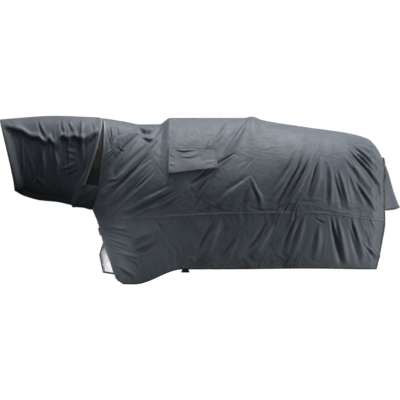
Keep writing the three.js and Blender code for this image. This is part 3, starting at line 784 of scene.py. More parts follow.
@dataclass(frozen=True)
class Fold:
    """One fold, drawn on the side view: its line, width and height in metres."""

    line: Line
    height: float
    width: float
    kind: FoldKind = FoldKind.RIDGE

    def lift(self, x: Array, z: Array) -> Array:
        """How far the fold moves the cloth outwards.

        Args:
            x: Lengths of places on the side view.
            z: Heights of the same places.

        Returns:
            The outward move at each place.
        """
        points = np.asarray(self.line, float)
        low, high = points.min(axis=0) - 4 * self.width, points.max(axis=0) + 4 * self.width
        inside = (x > low[0]) & (x < high[0]) & (z > low[1]) & (z < high[1])
        out = np.zeros_like(x)
        if not inside.any():
            return out
        place = np.stack([x[inside], z[inside]], axis=1)
        lengths = np.linalg.norm(np.diff(points, axis=0), axis=1)
        total, done = lengths.sum(), 0.0
        best = np.full(len(place), 1e9)
        share, hand = np.zeros(len(place)), np.ones(len(place))
        for a, b, length in zip(points[:-1], points[1:], lengths):
            step = (b - a) / length
            rel = place - a
            t = np.clip(rel @ step, 0, length)
            away = rel - t[:, None] * step
            gap = np.hypot(*away.T)
            near = gap < best
            best = np.where(near, gap, best)
            share = np.where(near, (done + t) / total, share)
            hand = np.where(near, np.sign(step[0] * rel[:, 1] - step[1] * rel[:, 0]), hand)
            done += length
        taper = smooth(share, -0.03, 0.34) * (1 - 0.75 * smooth(share, 0.4, 1.0))
        taper = taper * smooth(1 - share, -0.01, 0.12)
        width = self.width * (0.4 + 0.8 * share)
        aside = hand * best
        if self.kind is FoldKind.RIDGE:
            form = np.exp(-((best / width) ** 2)) - 0.5 * np.exp(-(((aside + 1.5 * width) / width) ** 2))
        else:
            form = -np.exp(-best / (0.8 * width))
            form = form + 0.55 * np.exp(-(((aside - 1.5 * width) / width) ** 2))
            form = form + 0.15 * np.exp(-(((aside + 1.7 * width) / width) ** 2))
        out[inside] = self.height * taper * form
        return out


def drawn(*folds: tuple) -> list[Fold]:
    """Folds drawn on the side view, in millimetres.

    Args:
        folds: The line, height and width of each, and its kind where it is no ridge.

    Returns:
        The folds in metres.
    """
    made = []
    for line, height, width, *kind in folds:
        made.append(Fold([(x / 1000, z / 1000) for x, z in line], height / 1000, width / 1000, *kind))
    return made


CREASE = FoldKind.CREASE

SHOULDER_FOLDS = drawn(
    ([(-310, -60), (-360, -90), (-410, -140), (-470, -220), (-510, -310)], 16, 17, CREASE),
    ([(-345, -75), (-390, -75), (-450, -120), (-500, -200)], 10, 18),
    ([(-345, -45), (-310, -70), (-270, -60), (-250, -35)], 11, 12),
    ([(-325, -105), (-290, -115), (-255, -100)], 8, 9),
    ([(-300, -90), (-285, -60)], 5, 10, CREASE),
    ([(-200, -30), (-240, -110), (-300, -180), (-380, -260), (-480, -370), (-590, -460)], 13, 20),
    ([(-230, -140), (-270, -180), (-335, -245), (-410, -325), (-500, -415), (-580, -485)], 9, 11, CREASE),
    ([(-250, -220), (-320, -275), (-400, -350), (-480, -435), (-560, -530)], 11, 18),
    ([(-270, -280), (-360, -370), (-450, -460), (-530, -545)], 7, 10, CREASE),
    ([(-230, -290), (-320, -380), (-420, -465), (-510, -550)], 8, 16),
    ([(-110, -395), (-160, -420), (-240, -455), (-330, -500), (-440, -560)], 15, 13, CREASE),
    ([(-140, -375), (-240, -425), (-340, -475), (-450, -535)], 9, 18),
    ([(-110, -440), (-180, -485), (-250, -540)], 8, 10, CREASE),
    ([(-120, -425), (-220, -485), (-330, -530)], 6, 12),
    ([(-530, -345), (-475, -340), (-430, -300)], 7, 8),
    ([(-535, -365), (-480, -360), (-420, -330)], 6, 6, CREASE),
    ([(-470, -160), (-440, -180), (-430, -190)], 5, 7, CREASE),
    ([(-530, -20), (-520, -100), (-500, -190)], 6, 8, CREASE),
    ([(-505, -30), (-495, -100), (-485, -150)], 6, 9),
    ([(-470, -30), (-465, -100)], 5, 7, CREASE),
)
BARREL_FOLDS = drawn(
    ([(60, -270), (-10, -330), (-70, -375)], 13, 11, CREASE),
    ([(90, -280), (20, -345), (-50, -410)], 8, 15),
    ([(60, -320), (10, -375), (-40, -440)], 8, 10, CREASE),
    ([(200, -195), (130, -235), (80, -275)], 9, 9, CREASE),
    ([(285, 0), (225, -80), (175, -165), (110, -260)], 10, 21),
    ([(160, -20), (120, -90), (40, -170)], 5, 20),
    ([(285, -325), (240, -365), (170, -420), (90, -510)], 8, 20),
    ([(285, -325), (310, -390), (335, -440), (350, -530)], 6, 14),
    ([(285, -370), (250, -440), (200, -530)], 6, 22, CREASE),
    ([(590, -170), (550, -280), (495, -370), (410, -500)], 11, 14, CREASE),
    ([(560, -160), (515, -280), (460, -370), (380, -480)], 7, 18),
    ([(640, -190), (600, -300), (545, -400), (480, -500)], 12, 16),
    ([(670, -210), (640, -330), (590, -460)], 14, 20, CREASE),
    ([(720, -230), (735, -340), (735, -500)], 9, 14),
    ([(750, -300), (775, -410), (800, -520)], 9, 12, CREASE),
    ([(780, -280), (810, -400), (845, -520)], 10, 15),
    ([(830, -300), (860, -400), (900, -500)], 5, 14, CREASE),
    ([(875, -340), (940, -440), (1000, -530)], 9, 14),
    ([(450, -490), (415, -530)], 7, 8, CREASE),
    ([(500, -480), (455, -535)], 7, 8, CREASE),
)
RUMP_FOLDS = drawn(
    ([(850, -140), (915, -200), (975, -262), (1030, -325)], 15, 9, CREASE),
    ([(825, -165), (875, -220), (945, -295), (1000, -375), (1015, -470)], 17, 9, CREASE),
    ([(870, -175), (940, -245), (1010, -330)], 9, 11),
    ([(800, -200), (880, -290), (955, -390), (990, -470)], 6, 20),
    ([(900, -140), (970, -190), (1020, -260)], 7, 14),
)
SKIRT_FOLDS = drawn(
    ([(-555, -605), (-480, -612), (-390, -630)], 10, 10),
    ([(-550, -635), (-460, -652), (-370, -680)], 10, 8, CREASE),
    ([(-540, -665), (-450, -695), (-380, -720)], 9, 10),
    ([(-530, -700), (-450, -730), (-380, -755)], 11, 8, CREASE),
    ([(-510, -745), (-430, -762), (-340, -785)], 10, 10),
    ([(-500, -775), (-420, -790), (-350, -830)], 12, 8, CREASE),
    ([(-490, -815), (-420, -850), (-360, -890)], 10, 11),
    ([(-460, -850), (-410, -885)], 8, 8, CREASE),
    ([(-380, -755), (-310, -735), (-235, -700)], 12, 16, CREASE),
    ([(-390, -700), (-330, -660), (-220, -620)], 6, 30),
    ([(-250, -560), (-235, -600), (-210, -620)], 5, 10, CREASE),
    ([(90, -555), (30, -660), (-40, -800)], 9, 18, CREASE),
    ([(120, -560), (70, -680), (10, -820)], 8, 22),
    ([(210, -660), (150, -740), (80, -830)], 8, 20, CREASE),
    ([(420, -590), (360, -680), (280, -790)], 9, 20),
    ([(380, -570), (310, -680), (220, -790)], 8, 18, CREASE),
    ([(540, -545), (500, -640), (445, -770)], 10, 16, CREASE),
    ([(590, -560), (550, -680), (500, -800)], 6, 22),
    ([(645, -560), (665, -575), (700, -590)], 8, 8, CREASE),
    ([(670, -600), (660, -700), (640, -800)], 7, 20),
    ([(730, -550), (750, -640), (790, -830)], 15, 14, CREASE),
    ([(770, -555), (795, -680), (830, -830)], 11, 17),
    ([(850, -550), (885, -660), (930, -790)], 9, 15),
    ([(830, -600), (860, -700), (900, -830)], 6, 14, CREASE),
    ([(930, -720), (970, -770), (1000, -820)], 8, 12, CREASE),
)
HANG_LINE: Line = [
    (-1.1, -0.05), (-1.02, -0.066), (-0.956, -0.103), (-0.918, -0.107), (-0.878, -0.136), (-0.852, -0.116),
    (-0.825, -0.149), (-0.78, -0.1), (-0.747, -0.116), (-0.714, -0.103), (-0.681, -0.116), (-0.656, -0.12),
    (-0.602, -0.087), (-0.57, -0.075),
]
NECK_FOLDS = drawn(
    ([(-925, 0), (-905, -60), (-875, -125)], 9, 10, CREASE),
    ([(-790, 0), (-785, -50), (-770, -105)], 8, 9, CREASE),
    ([(-755, -10), (-735, -55), (-710, -100)], 7, 9, CREASE),
    ([(-672, 0), (-668, -120), (-665, -260)], 12, 12),
    ([(-695, -20), (-690, -130), (-690, -240)], 6, 9, CREASE),
    ([(-610, -20), (-600, -90)], 5, 8, CREASE),
    ([(-765, -130), (-735, -135), (-705, -155)], 7, 8),
    ([(-775, -175), (-740, -180), (-695, -195)], 7, 8),
    ([(-770, -215), (-730, -220), (-700, -230)], 6, 8),
    ([(-795, -290), (-750, -275), (-710, -245)], 10, 10),
    ([(-775, -320), (-730, -315), (-690, -290)], 10, 9, CREASE),
    ([(-940, -330), (-900, -370), (-860, -420)], 6, 14),
    ([(-620, -250), (-660, -330), (-700, -420)], 7, 14),
    ([(-900, -160), (-890, -250), (-900, -330)], 6, 14),
    ([(-830, -170), (-810, -250), (-820, -360)], 7, 13),
)


@dataclass
class FoldField:
    """All that moves one side's cloth off its smooth shape."""

    side: Side
    folds: list[Fold]
    turns: Line
    box: tuple[float, float, float, float]
    count: int
    seed: int
    spread: float = 8.0
    bend: float = 0.14
    lengths: Pair = (0.05, 0.26)
    heights: Pair = (0.0006, 0.0026)
    widths: Pair = (0.005, 0.01)
    creased: float = 0.35
    wrinkles: list[Fold] = field(default_factory=list)

    def __post_init__(self) -> None:
        """Moves the far side's folds a little and scatters the small wrinkles."""
        rng = np.random.default_rng(self.seed)
        if self.side is Side.FAR:
            moved = []
            for fold in self.folds:
                shift = rng.uniform(-0.03, 0.03, 2)
                line = [(x + shift[0], z + 0.6 * shift[1]) for x, z in fold.line]
                height, width = fold.height * rng.uniform(0.55, 1.05), fold.width * rng.uniform(0.9, 1.3)
                moved.append(Fold(line, height, width, fold.kind))
            self.folds = moved
        x0, x1, z0, z1 = self.box
        for _ in range(self.count):
            x, z = rng.uniform(x0, x1), rng.uniform(z0, z1)
            angle = math.radians(float(through(self.turns, x)) + rng.normal(0, self.spread))
            bend = rng.normal(0, self.bend)
            length = rng.uniform(*self.lengths)
            ahead = np.array([-math.cos(angle), -math.sin(angle)])
            turned = np.array([-math.cos(angle + bend), -math.sin(angle + bend)])
            start = np.array([x, z])
            middle, end = start + ahead * length / 2, start + (ahead + turned) * length / 2
            line = [tuple(start), tuple(middle), tuple(end)]
            height = rng.uniform(*self.heights) * (0.4 + length / 0.2)
            kind = FoldKind.CREASE if rng.random() < self.creased else FoldKind.RIDGE
            self.wrinkles.append(Fold(line, height, rng.uniform(*self.widths), kind))

    def lift(self, x: Array, z: Array) -> Array:
        """How far the cloth stands off its smooth shape.

        Args:
            x: Lengths of places on the side view.
            z: Heights of the same places.

        Returns:
            The outward move at each place.
        """
        most = 0.03
        broad = 0.0035 * value_noise(x * 7 + 5, z * 5, self.seed)
        out = broad + 0.0016 * value_noise(x * 17, z * 13 + 9, self.seed + 1)
        for fold in self.folds + self.wrinkles:
            out = out + 1.4 * fold.lift(x, z)
        return most * np.tanh(out / most)


# ---- body of the sheet

BODY_TURNS: Line = [
    (-0.6, 42.0), (-0.2, 46.0), (0.1, 54.0), (0.4, 62.0), (0.62, 70.0), (0.75, 92.0), (0.9, 118.0),
    (1.04, 128.0),
]
BODY_BOX = (-0.55, 1.02, -0.84, -0.05)
CORNER_ROWS = 27
"""How many rows of the skirt lie above the cut-away front corner."""
PIPED_ROWS = slice(6, 121)
"""The rows of the neck hole that are piped."""
SLOT_RIM: Line = [
    (-0.006, -0.0025), (0.007, -0.0025), (0.008, 0.0008), (0.006, 0.0014), (-0.004, 0.0014), (-0.006, 0.0006),
]


def on_centre(place: Pair) -> Array:
    """The point of the middle plane at a length and a height."""
    return np.array([place[0], 0, place[1]])


@dataclass
class BodyShape:
    """The smooth shape of the sheet's body, in metres from the saddle rest."""

    collar_top_x: float = -0.553
    shoulder_x: float = -0.43
    back_x: float = 1.036
    rump_x: float = 0.96
    back_top_drop: float = 0.215
    hem_z: float = -0.839
    collar_bottom: Pair = (-0.618, -0.504)
    collar_half_width: float = 0.182
    collar_bow: float = 0.035
    chest_seam: Pair = (-0.582, -0.588)
    chest_end: Pair = (-0.553, -0.704)
    near_corner: Triple = (-0.474, 0.214, -0.9)
    far_turn: Triple = (-0.576, 0.07, -0.772)
    far_corner: Triple = (-0.558, 0.15, -0.872)
    front_columns: int = 42
    arch_columns: int = 248
    back_columns: int = 16
    upper_rows: int = 140
    skirt_rows: int = 63
    arch_steps: int = 97
    topline: Line = stations(
        (-0.553, 0.006), (-0.43, -0.014), (-0.34, -0.03), (-0.23, -0.029), (-0.17, 0.0067), (0.25, 0.0067),
        (0.296, 0.0147), (0.35, -0.004), (0.6, -0.045), (0.855, -0.082), (0.96, -0.115), (1.005, -0.162),
        (1.036, -0.215),
    )
    half_width: Line = stations(
        (-0.43, 0.262), (-0.15, 0.295), (0.24, 0.325), (0.6, 0.33), (0.96, 0.264), (1.036, 0.212)
    )
    widest_z: Line = stations((-0.43, -0.38), (0.24, -0.435), (0.6, -0.41), (1.036, -0.505))
    roundness: Line = stations((-0.43, 1.8), (-0.15, 1.72), (0.24, 1.75), (0.6, 2.15), (1.036, 2.3))
    seam_line: Line = stations((-0.43, -0.565), (0.24, -0.535), (0.6, -0.531), (1.036, -0.577))
    back_line: Line = stations((-0.839, 0.998), (-0.694, 1.024), (-0.565, 1.038), (-0.215, 1.036))

    def hem_line(self, side: Side) -> Line:
        """Height of the hem along one side."""
        sag = 0.086 if side is Side.NEAR else 0.052
        drops = [(-0.43, -sag), (-0.37, -sag), (-0.1, -0.002), (0.24, 0.0), (0.6, 0.004), (1.036, -0.004)]
        return [(x, self.hem_z + drop) for x, drop in drops]

    def half_width_at(self, x: Array, z: Array) -> Array:
        """Half width of the draped body at length x and height z."""
        wide, level, n = through(self.half_width, x), through(self.widest_z, x), through(self.roundness, x)
        rise = np.clip((z - level) / (through(self.topline, x) - level), 0, 1)
        return wide * (1 - rise**n) ** (1 / n)

    def arch(self, side: Side, x: float) -> Array:
        """One column of the arch.

        Args:
            side: Which side it is on.
            x: Its length.

        Returns:
            Its points, from the spine to the hem.
        """
        lines = (self.roundness, self.half_width, self.widest_z)
        n, wide, level = (float(through(line, x)) for line in lines)
        crown = float(through(self.topline, x)) - level
        seam, hem = float(through(self.seam_line, x)), float(through(self.hem_line(side), x))
        angle = np.linspace(0, math.pi / 2, self.arch_steps)
        y = wide * np.sin(angle) ** (2 / n)
        z = level + crown * np.clip(np.cos(angle), 0, 1) ** (2 / n)
        line = np.stack([np.full(self.arch_steps, x), side.value * y, z], axis=1)
        foot = np.array([x, side.value * wide, seam])
        upper = spaced(np.vstack([line, foot]), np.linspace(0, 1, self.upper_rows + 1))
        skirt = spaced(np.array([foot, [x, side.value * wide, hem]]), np.linspace(0, 1, self.skirt_rows + 1))
        return np.vstack([upper, skirt[1:]])

    def loop(self, side: Side, top: Pair, bottom: Pair, width: float, bow: float, s: Array) -> Array:
        """Points on one half of an oblique loop round the neck.

        Args:
            side: Which half.
            top: Length and height of its top.
            bottom: Length and height of its foot.
            width: Its half width.
            bow: How far its middle stands back.
            s: Shares of the way from top to foot.

        Returns:
            One point for each share.
        """
        down = (1 - np.cos(math.pi * s)) / 2
        swell = np.clip(np.sin(math.pi * s), 0, 1)
        x, z = lerp(top[0], bottom[0], down) + bow * swell, lerp(top[1], bottom[1], down)
        return np.stack([x, side.value * width * swell**0.8, z], axis=-1)

    def collar(self, side: Side, s: Array) -> Array:
        """Points on the neck hole, s from 0 at the crest to 1 at the chest."""
        top = (self.collar_top_x, float(through(self.topline, self.collar_top_x)))
        return self.loop(side, top, self.collar_bottom, self.collar_half_width, self.collar_bow, s)

    def front(self, side: Side) -> Array:
        """The front edge of one side: neck hole, chest line and cut-away corner."""
        row = np.linspace(0, 14, self.upper_rows + 1)
        collar = self.collar(side, np.clip(row / 12, 0, 1))
        bridge = np.clip((row - 12) / 2, 0, 1)[:, None]
        below = lerp(on_centre(self.collar_bottom), on_centre(self.chest_seam), bridge)
        upper = np.where((row > 12)[:, None], below, collar)
        row = np.linspace(0, 7, self.skirt_rows + 1)
        chest = lerp(on_centre(self.chest_seam), on_centre(self.chest_end), np.clip(row / 3, 0, 1)[:, None])
        cut = [self.near_corner] if side is Side.NEAR else [self.far_turn, self.far_corner]
        outline = [on_centre(self.chest_end), *(np.array([x, side.value * y, z]) for x, y, z in cut)]
        corner = spaced(np.array(outline), np.clip((row - 3) / 4, 0, 1))
        return np.vstack([upper, np.where((row > 3)[:, None], corner, chest)[1:]])

    def grid(self, side: Side) -> Array:
        """One side's whole cloth, front edge to rear edge and spine to hem."""
        shoulder, front = self.arch(side, self.shoulder_x), self.front(side)
        row = np.concatenate([np.linspace(0, 1, self.upper_rows + 1), np.ones(self.skirt_rows)])
        roundness = smooth(row, 0.45, 0.9)
        columns = []
        for k in range(self.front_columns, 0, -1):
            angle = k / self.front_columns * math.pi / 2
            turn = lerp(math.sin(angle) ** 2, 1 - math.cos(angle), roundness)
            level = np.full_like(turn, math.sin(angle))
            share = np.stack([level, turn, level], axis=1)
            columns.append(lerp(shoulder, front, share))
        lengths = np.linspace(self.shoulder_x, self.rump_x, self.arch_columns + 1)
        columns += [self.arch(side, x) for x in lengths]
        for share in np.linspace(0, 1, self.back_columns + 1)[1:]:
            column = self.arch(side, float(lerp(self.rump_x, self.back_x, share)))
            column[:, 0] = lerp(self.rump_x, through(self.back_line, column[:, 2]), share)
            columns.append(column)
        return np.array(columns)


@dataclass
class Slot:
    """The slot that the stirrup leather comes out of."""

    x: float = -0.042
    z: float = -0.234
    length: float = 0.18
    height: float = 0.016


@dataclass(frozen=True)
class Settling:
    """How the cloth settles: time in frames, the cloth's own properties, and how far it may move."""

    frames: int = 9
    slack: float = 0.005
    mass: float = 0.12
    damping: float = 3.0
    stretch: float = 12.0
    shear: float = 4.0
    bending: float = 0.1
    gravity: float = 0.08
    most: float = 0.02
    held_band: Pair = (0.004, 0.06)
    freed: float = 0.86
    seam_hold: float = 0.35
    seam_band: float = 0.008


@dataclass
class BodyCloth:
    """The upper panel and skirt panel of each side, with their seams and bindings."""

    shape: BodyShape
    finishes: Finishes
    stitches: StitchMaker
    slot: Slot = field(default_factory=Slot)
    settling: Settling = Settling()

    def __post_init__(self) -> None:
        """Drapes both sides."""
        self.base = {side: self.shape.grid(side) for side in Side}
        self.draped = {side: self.drape(side) for side in Side}
        self.normals = {side: grid_normals(self.draped[side], side) for side in Side}

    def drape(self, side: Side) -> Array:
        """Lays the folds on one side's cloth and lets it settle.

        Args:
            side: Which side it is.

        Returns:
            The cloth's grid.
        """
        base = self.base[side]
        folds = SHOULDER_FOLDS + BARREL_FOLDS + RUMP_FOLDS + SKIRT_FOLDS
        fold_field = FoldField(side, folds, BODY_TURNS, BODY_BOX, 120, 11 if side is Side.NEAR else 23)
        x, y, z = base[..., 0], np.abs(base[..., 1]), base[..., 2]
        lift = fold_field.lift(x, z) + self.puckers(side)
        u, v = arc_map(base)[..., 0], arc_map(base)[..., 1]
        u = u - u.min(axis=0, keepdims=True)
        lift *= smooth(v, 0.0, 0.075) * smooth(u, 0.0, 0.045)
        under_tab = (1 - smooth(y, 0.06, 0.11)) * smooth(-z, 0.55, 0.6) * (1 - smooth(x, -0.5, -0.46))
        lift *= 1 - 0.85 * under_tab
        lift *= 1 - 0.4 * np.exp(-(((v - v[:, self.shape.upper_rows][:, None]) / 0.01) ** 2))
        flap = smooth(x, -0.2, -0.17) * (1 - smooth(x, 0.086, 0.116))
        flap = flap * smooth(-z, 0.15, 0.175) * (1 - smooth(-z, 0.3, 0.33))
        lift = np.where(lift > 0, lift * (1 - 0.8 * flap), lift * (1 - 0.5 * flap))
        folded = base + grid_normals(base, side) * lift[..., None]
        return self.settle(side, folded)

    def settle(self, side: Side, folded: Array) -> Array:
        """Lets the folded cloth settle under its own weight in a short simulation.

        Args:
            side: Which side it is.
            folded: The cloth with its folds.

        Returns:
            The cloth after it has settled, its outer edges where they were.
        """
        began = time.perf_counter()
        how, quads = self.settling, quad_corners(folded).reshape(-1, 4).tolist()
        cloth = add_object(f"settling_{side.word}", folded.reshape(-1, 3), quads, None, self.finishes.shell)
        hold = self.hold(side)
        group = cloth.vertex_groups.new(name="held")
        for level in np.unique(np.round(hold, 2)):
            chosen = np.flatnonzero(np.round(hold, 2).ravel() == level)
            group.add(chosen.tolist(), float(level), "REPLACE")
        modifier = cloth.modifiers.new("settle", "CLOTH")
        setting = modifier.settings
        setting.quality, setting.mass, setting.air_damping = 5, how.mass, how.damping
        setting.tension_stiffness = setting.compression_stiffness = how.stretch
        setting.shear_stiffness, setting.bending_stiffness = how.shear, how.bending
        setting.vertex_group_mass, setting.pin_stiffness = group.name, 1.0
        setting.shrink_min = -how.slack
        setting.effector_weights.gravity = how.gravity
        modifier.collision_settings.use_collision = False
        scene = bpy.context.scene
        for frame_number in range(1, how.frames + 1):
            scene.frame_set(frame_number)
        graph = bpy.context.evaluated_depsgraph_get()
        done = cloth.evaluated_get(graph).data
        places = np.empty(len(done.vertices) * 3, np.float32)
        done.vertices.foreach_get("co", places)
        bpy.data.objects.remove(cloth)
        scene.frame_set(1)
        moved = places.reshape(folded.shape).astype(float) - folded
        far = np.linalg.norm(moved, axis=2, keepdims=True)
        moved *= np.minimum(1, how.most / np.maximum(far, 1e-9)) * (1 - smooth(hold, 0.9, 1.0))[..., None]
        took, most = time.perf_counter() - began, 1000 * float(far.max())
        log.info("%s side settled in %.1f s, at most %.1f mm", side.word, took, most)
        return folded + moved

    def hold(self, side: Side) -> Array:
        """How firmly each point is held while the cloth settles.

        Args:
            side: Which side it is.

        Returns:
            A share for each point: 1 at the top, front and rear edges, less inside and at the hem.
        """
        how, flat = self.settling, arc_map(self.base[side])
        to_rear = flat[-1:, :, 0] - flat[..., 0] + how.held_band[0]
        from_edge = np.minimum.reduce([flat[..., 1], flat[..., 0] - flat[:1, :, 0], to_rear])
        hold = 1 - how.freed * smooth(from_edge, *how.held_band)
        from_seam = np.abs(flat[..., 1] - flat[:, self.shape.upper_rows, 1][:, None])
        return np.maximum(hold, how.seam_hold * np.exp(-((from_seam / how.seam_band) ** 2)))

    def puckers(self, side: Side) -> Array:
        """Small gathers along the long seam and the hem.

        Args:
            side: Which side it is.

        Returns:
            The outward move at each point.
        """
        flat, seam_row, seed = arc_map(self.base[side]), self.shape.upper_rows, 40 + side.value
        u, v = flat[..., 0], flat[..., 1]
        at_seam = np.exp(-np.abs(v - v[:, seam_row : seam_row + 1]) / 0.035)
        at_hem = np.exp(-(v[:, -1:] - v) / 0.03)
        gathers = 0.0022 * value_noise(u * 34, v * 6, seed) * at_seam
        return gathers + 0.002 * value_noise(u * 22, v * 4, seed + 3) * at_hem

    def build(self) -> None:
        """Makes every piece of the body."""
        for side in Side:
            self.panels(side)
            self.long_seam(side)
            self.edges(side)
            self.slot_pieces(side)
        self.spine()

    def panels(self, side: Side) -> None:
        """The upper panel, with its slot, and the skirt panel."""
        grid, row, slot = self.draped[side].copy(), self.shape.upper_rows, self.slot
        base, flat = self.base[side], arc_map(self.base[side])
        x, z = grid[..., 0], grid[..., 2]
        middle_x = (x[1:, 1:] + x[:-1, :-1]) / 2
        middle_z = (z[1:, 1:] + z[:-1, :-1]) / 2
        inside = (np.abs(middle_x - slot.x) < slot.length / 2) & (np.abs(middle_z - slot.z) < slot.height / 2)
        parts = (
            ("upper", slice(0, row + 1), ~inside[:, :row], "draped", f"slot_facing_{side.word}"),
            ("skirt", slice(row, None), None, "hung", "belly_strap"),
        )
        for part, rows, keep, held, under in parts:
            name, faces = f"{part}_cloth_{side.word}", (self.finishes.shell, self.finishes.reverse)
            piece = cloth_from_grid(name, grid[:, rows], side, CLOTH, *faces, flat[:, rows], keep)
            attach(piece, "sheet", "shell", f"{part}_panel_{side.word}")

    def long_seam(self, side: Side) -> None:
        """The felled seam between upper and skirt, the tape behind it, and its two stitch rows."""
        row, end = self.shape.upper_rows, f"_{side.word}"
        line, normal = self.draped[side][2:, row], self.normals[side][2:, row]
        across = unit(np.cross(normal, unit(np.gradient(line, axis=0))))
        fell_section = tape_section(0.011, -0.0004, 0.002, 0.0007)
        fell = sweep("long_seam" + end, line, across, normal, fell_section, self.finishes.shell)
        attach(fell, "sheet", "shell")
        tape_behind = tape_section(0.02, -0.0021, -0.0014)
        tape = sweep("long_seam_tape" + end, line, across, normal, tape_behind, self.finishes.tape)
        attach(tape, "sheet", "webbing", "waist_tape" + end)
        self.stitches.sew_pair("long_seam_stitch", end, line, across * 0.0042, normal, 0.0022, "sheet")

    def edges(self, side: Side) -> None:
        """The bindings of the hem, the front corner, the neck hole and the rear edge."""
        grid, normals = self.draped[side], self.normals[side]
        cut, collar = self.shape.upper_rows + CORNER_ROWS, PIPED_ROWS
        runs = {
            "hem": (grid[:, -1], grid[:, -2], normals[:, -1]),
            "front": (grid[0, cut:], grid[1, cut:], normals[0, cut:]),
            "collar": (grid[0, collar], grid[1, collar], normals[0, collar]),
            "rear": (grid[-1], grid[-2], normals[-1]),
        }
        for place, (edge, inside, normal) in runs.items():
            # The neck hole's paler piping carries a painted highlight along that edge.
            material = self.finishes.highlight_piping if place == "collar" else self.finishes.binding
            across = unit(edge - inside)
            self.stitches.bind(place, f"_{side.word}", edge, across, normal, material, "sheet")

    def surface(self, side: Side, x: Array, z: Array) -> tuple[Array, Array]:
        """The draped upper cloth behind the shoulder, near places of the side view.

        Args:
            side: Which side it is.
            x: Lengths of the places.
            z: Heights of the places.

        Returns:
            A point of the cloth and its normal at each place.
        """
        part = np.s_[self.shape.front_columns + 1 :, : self.shape.upper_rows + 1]
        flat, flat_normals = self.draped[side][part].reshape(-1, 3), self.normals[side][part].reshape(-1, 3)
        points, ups = [], []
        for a, b in zip(np.ravel(x), np.ravel(z)):
            gap = (flat[:, 0] - a) ** 2 + (flat[:, 2] - b) ** 2
            nearest = np.argpartition(gap, 6)[:6]
            weight = 1 / (gap[nearest] + 1e-7)
            weight /= weight.sum()
            points.append([a, float(flat[nearest, 1] @ weight), b])
            ups.append(weight @ flat_normals[nearest])
        return np.array(points), unit(np.array(ups))

    def slot_pieces(self, side: Side) -> None:
        """The bound rim of the slot and the facing behind it."""
        slot, facing = self.slot, tape_section(0.028, -0.0032, -0.0024)
        for part, reach, section, material, nodes in (
            ("rim", 0.004, SLOT_RIM, self.finishes.binding, ()),
            ("backing", 0.01, facing, self.finishes.tape, (f"slot_facing_{side.word}",)),
        ):
            a, b = slot.length / 2 + reach, slot.height / 2 + reach
            corners = [(-a, b), (a, b), (a, -b), (-a, -b), (-a, b)]
            line = spaced(np.array([(slot.x + p, slot.z + q) for p, q in corners]), np.linspace(0, 1, 85))
            points, ups = self.surface(side, line[:, 0], line[:, 1])
            over, up = (line[:, 0] - slot.x) / a, (line[:, 1] - slot.z) / b
            out = np.stack([np.clip(over, -1, 1) ** 9, 0 * over, np.clip(up, -1, 1) ** 9], axis=1)
            across = unit(out - ups * (out * ups).sum(axis=1, keepdims=True))
            piece = sweep(f"slot_{part}_{side.word}", points, across, ups, section, material)
            attach(piece, "sheet", "webbing", *nodes)

    def spine(self) -> None:
        """The felled spine seam outside and the tape inside."""
        line = self.base[Side.FAR][1:-1, 0]
        normal = grid_normals(self.base[Side.FAR], Side.FAR)[1:-1, 0]
        across = np.tile([0.0, 1.0, 0.0], (len(line), 1))
        fell_section = tape_section(0.015, -0.0012, 0.001, 0.0006)
        fell = sweep("spine_seam", line, across, normal, fell_section, self.finishes.shell)
        tape_inside = tape_section(0.022, -0.0034, -0.0022)
        tape = sweep("spine_seam_tape", line, across, normal, tape_inside, self.finishes.tape)
        attach(fell, "sheet", "shell")
        attach(tape, "sheet", "webbing", "spine_tape")
        self.stitches.sew_pair("spine_stitch", "", line, across * 0.0045, normal, 0.0016, "sheet")


# ---- neck cover

NECK_TURNS: Line = [(-1.1, 95.0), (-0.9, 80.0), (-0.75, 88.0), (-0.6, 70.0)]
NECK_BOX = (-1.08, -0.62, -0.44, -0.03)

@dataclass
class NeckShape:
    """The smooth shape of the neck cover, in metres from the saddle rest."""

    body: BodyShape
    top_front: Pair = (-1.133, -0.001)
    bottom_front: Pair = (-1.052, -0.408)
    bottom_back: Pair = (-0.722, -0.49)
    hem_gap: float = 0.017
    top_back_z: float = 0.01
    mouth_half_width: float = 0.108
    hem_half_width: float = 0.17
    hem_bow: float = 0.038
    mouth_bow: float = 0.014
    seam_top: float = 0.1
    seam_bottom: float = 0.39
    crest: Line = stations((0, 0), (0.5, 0.014), (1, 0))
    throat: Line = stations((0, 0), (0.15, -0.014), (0.35, -0.018), (0.8, -0.0005), (1, 0))

    def point(self, side: Side, k: Array, s: Array, inset: float = 0.0) -> Array:
        """Points on the cover's outer face.

        Args:
            side: Which side they are on.
            k: Shares of the way from the mouth to the rear hem.
            s: Shares of the way from the crest to the throat.
            inset: How far they lie inside the face.

        Returns:
            One point for each pair of shares.
        """
        k, s = np.broadcast_arrays(np.asarray(k, float), np.asarray(s, float))
        top_back = self.body.collar_top_x - self.hem_gap
        rise = lerp(self.top_front[1], self.top_back_z, k) + through(self.crest, k) - inset
        fall = lerp(self.bottom_front[1], self.bottom_back[1], k) + through(self.throat, k) + inset
        top = (lerp(self.top_front[0], top_back, k), rise)
        bottom = (lerp(self.bottom_front[0], self.bottom_back[0], k), fall)
        width = lerp(self.mouth_half_width, self.hem_half_width, k**1.3) - inset
        bow = lerp(self.mouth_bow * np.minimum(1, 1.3 * s), self.hem_bow, k * k)
        return self.body.loop(side, top, bottom, width, bow, s)

    def seam(self, s: Array) -> Array:
        """Where the curved seam of the mouth panel crosses each row."""
        return lerp(self.seam_top, self.seam_bottom, (1 - np.cos(math.pi * s)) / 2)


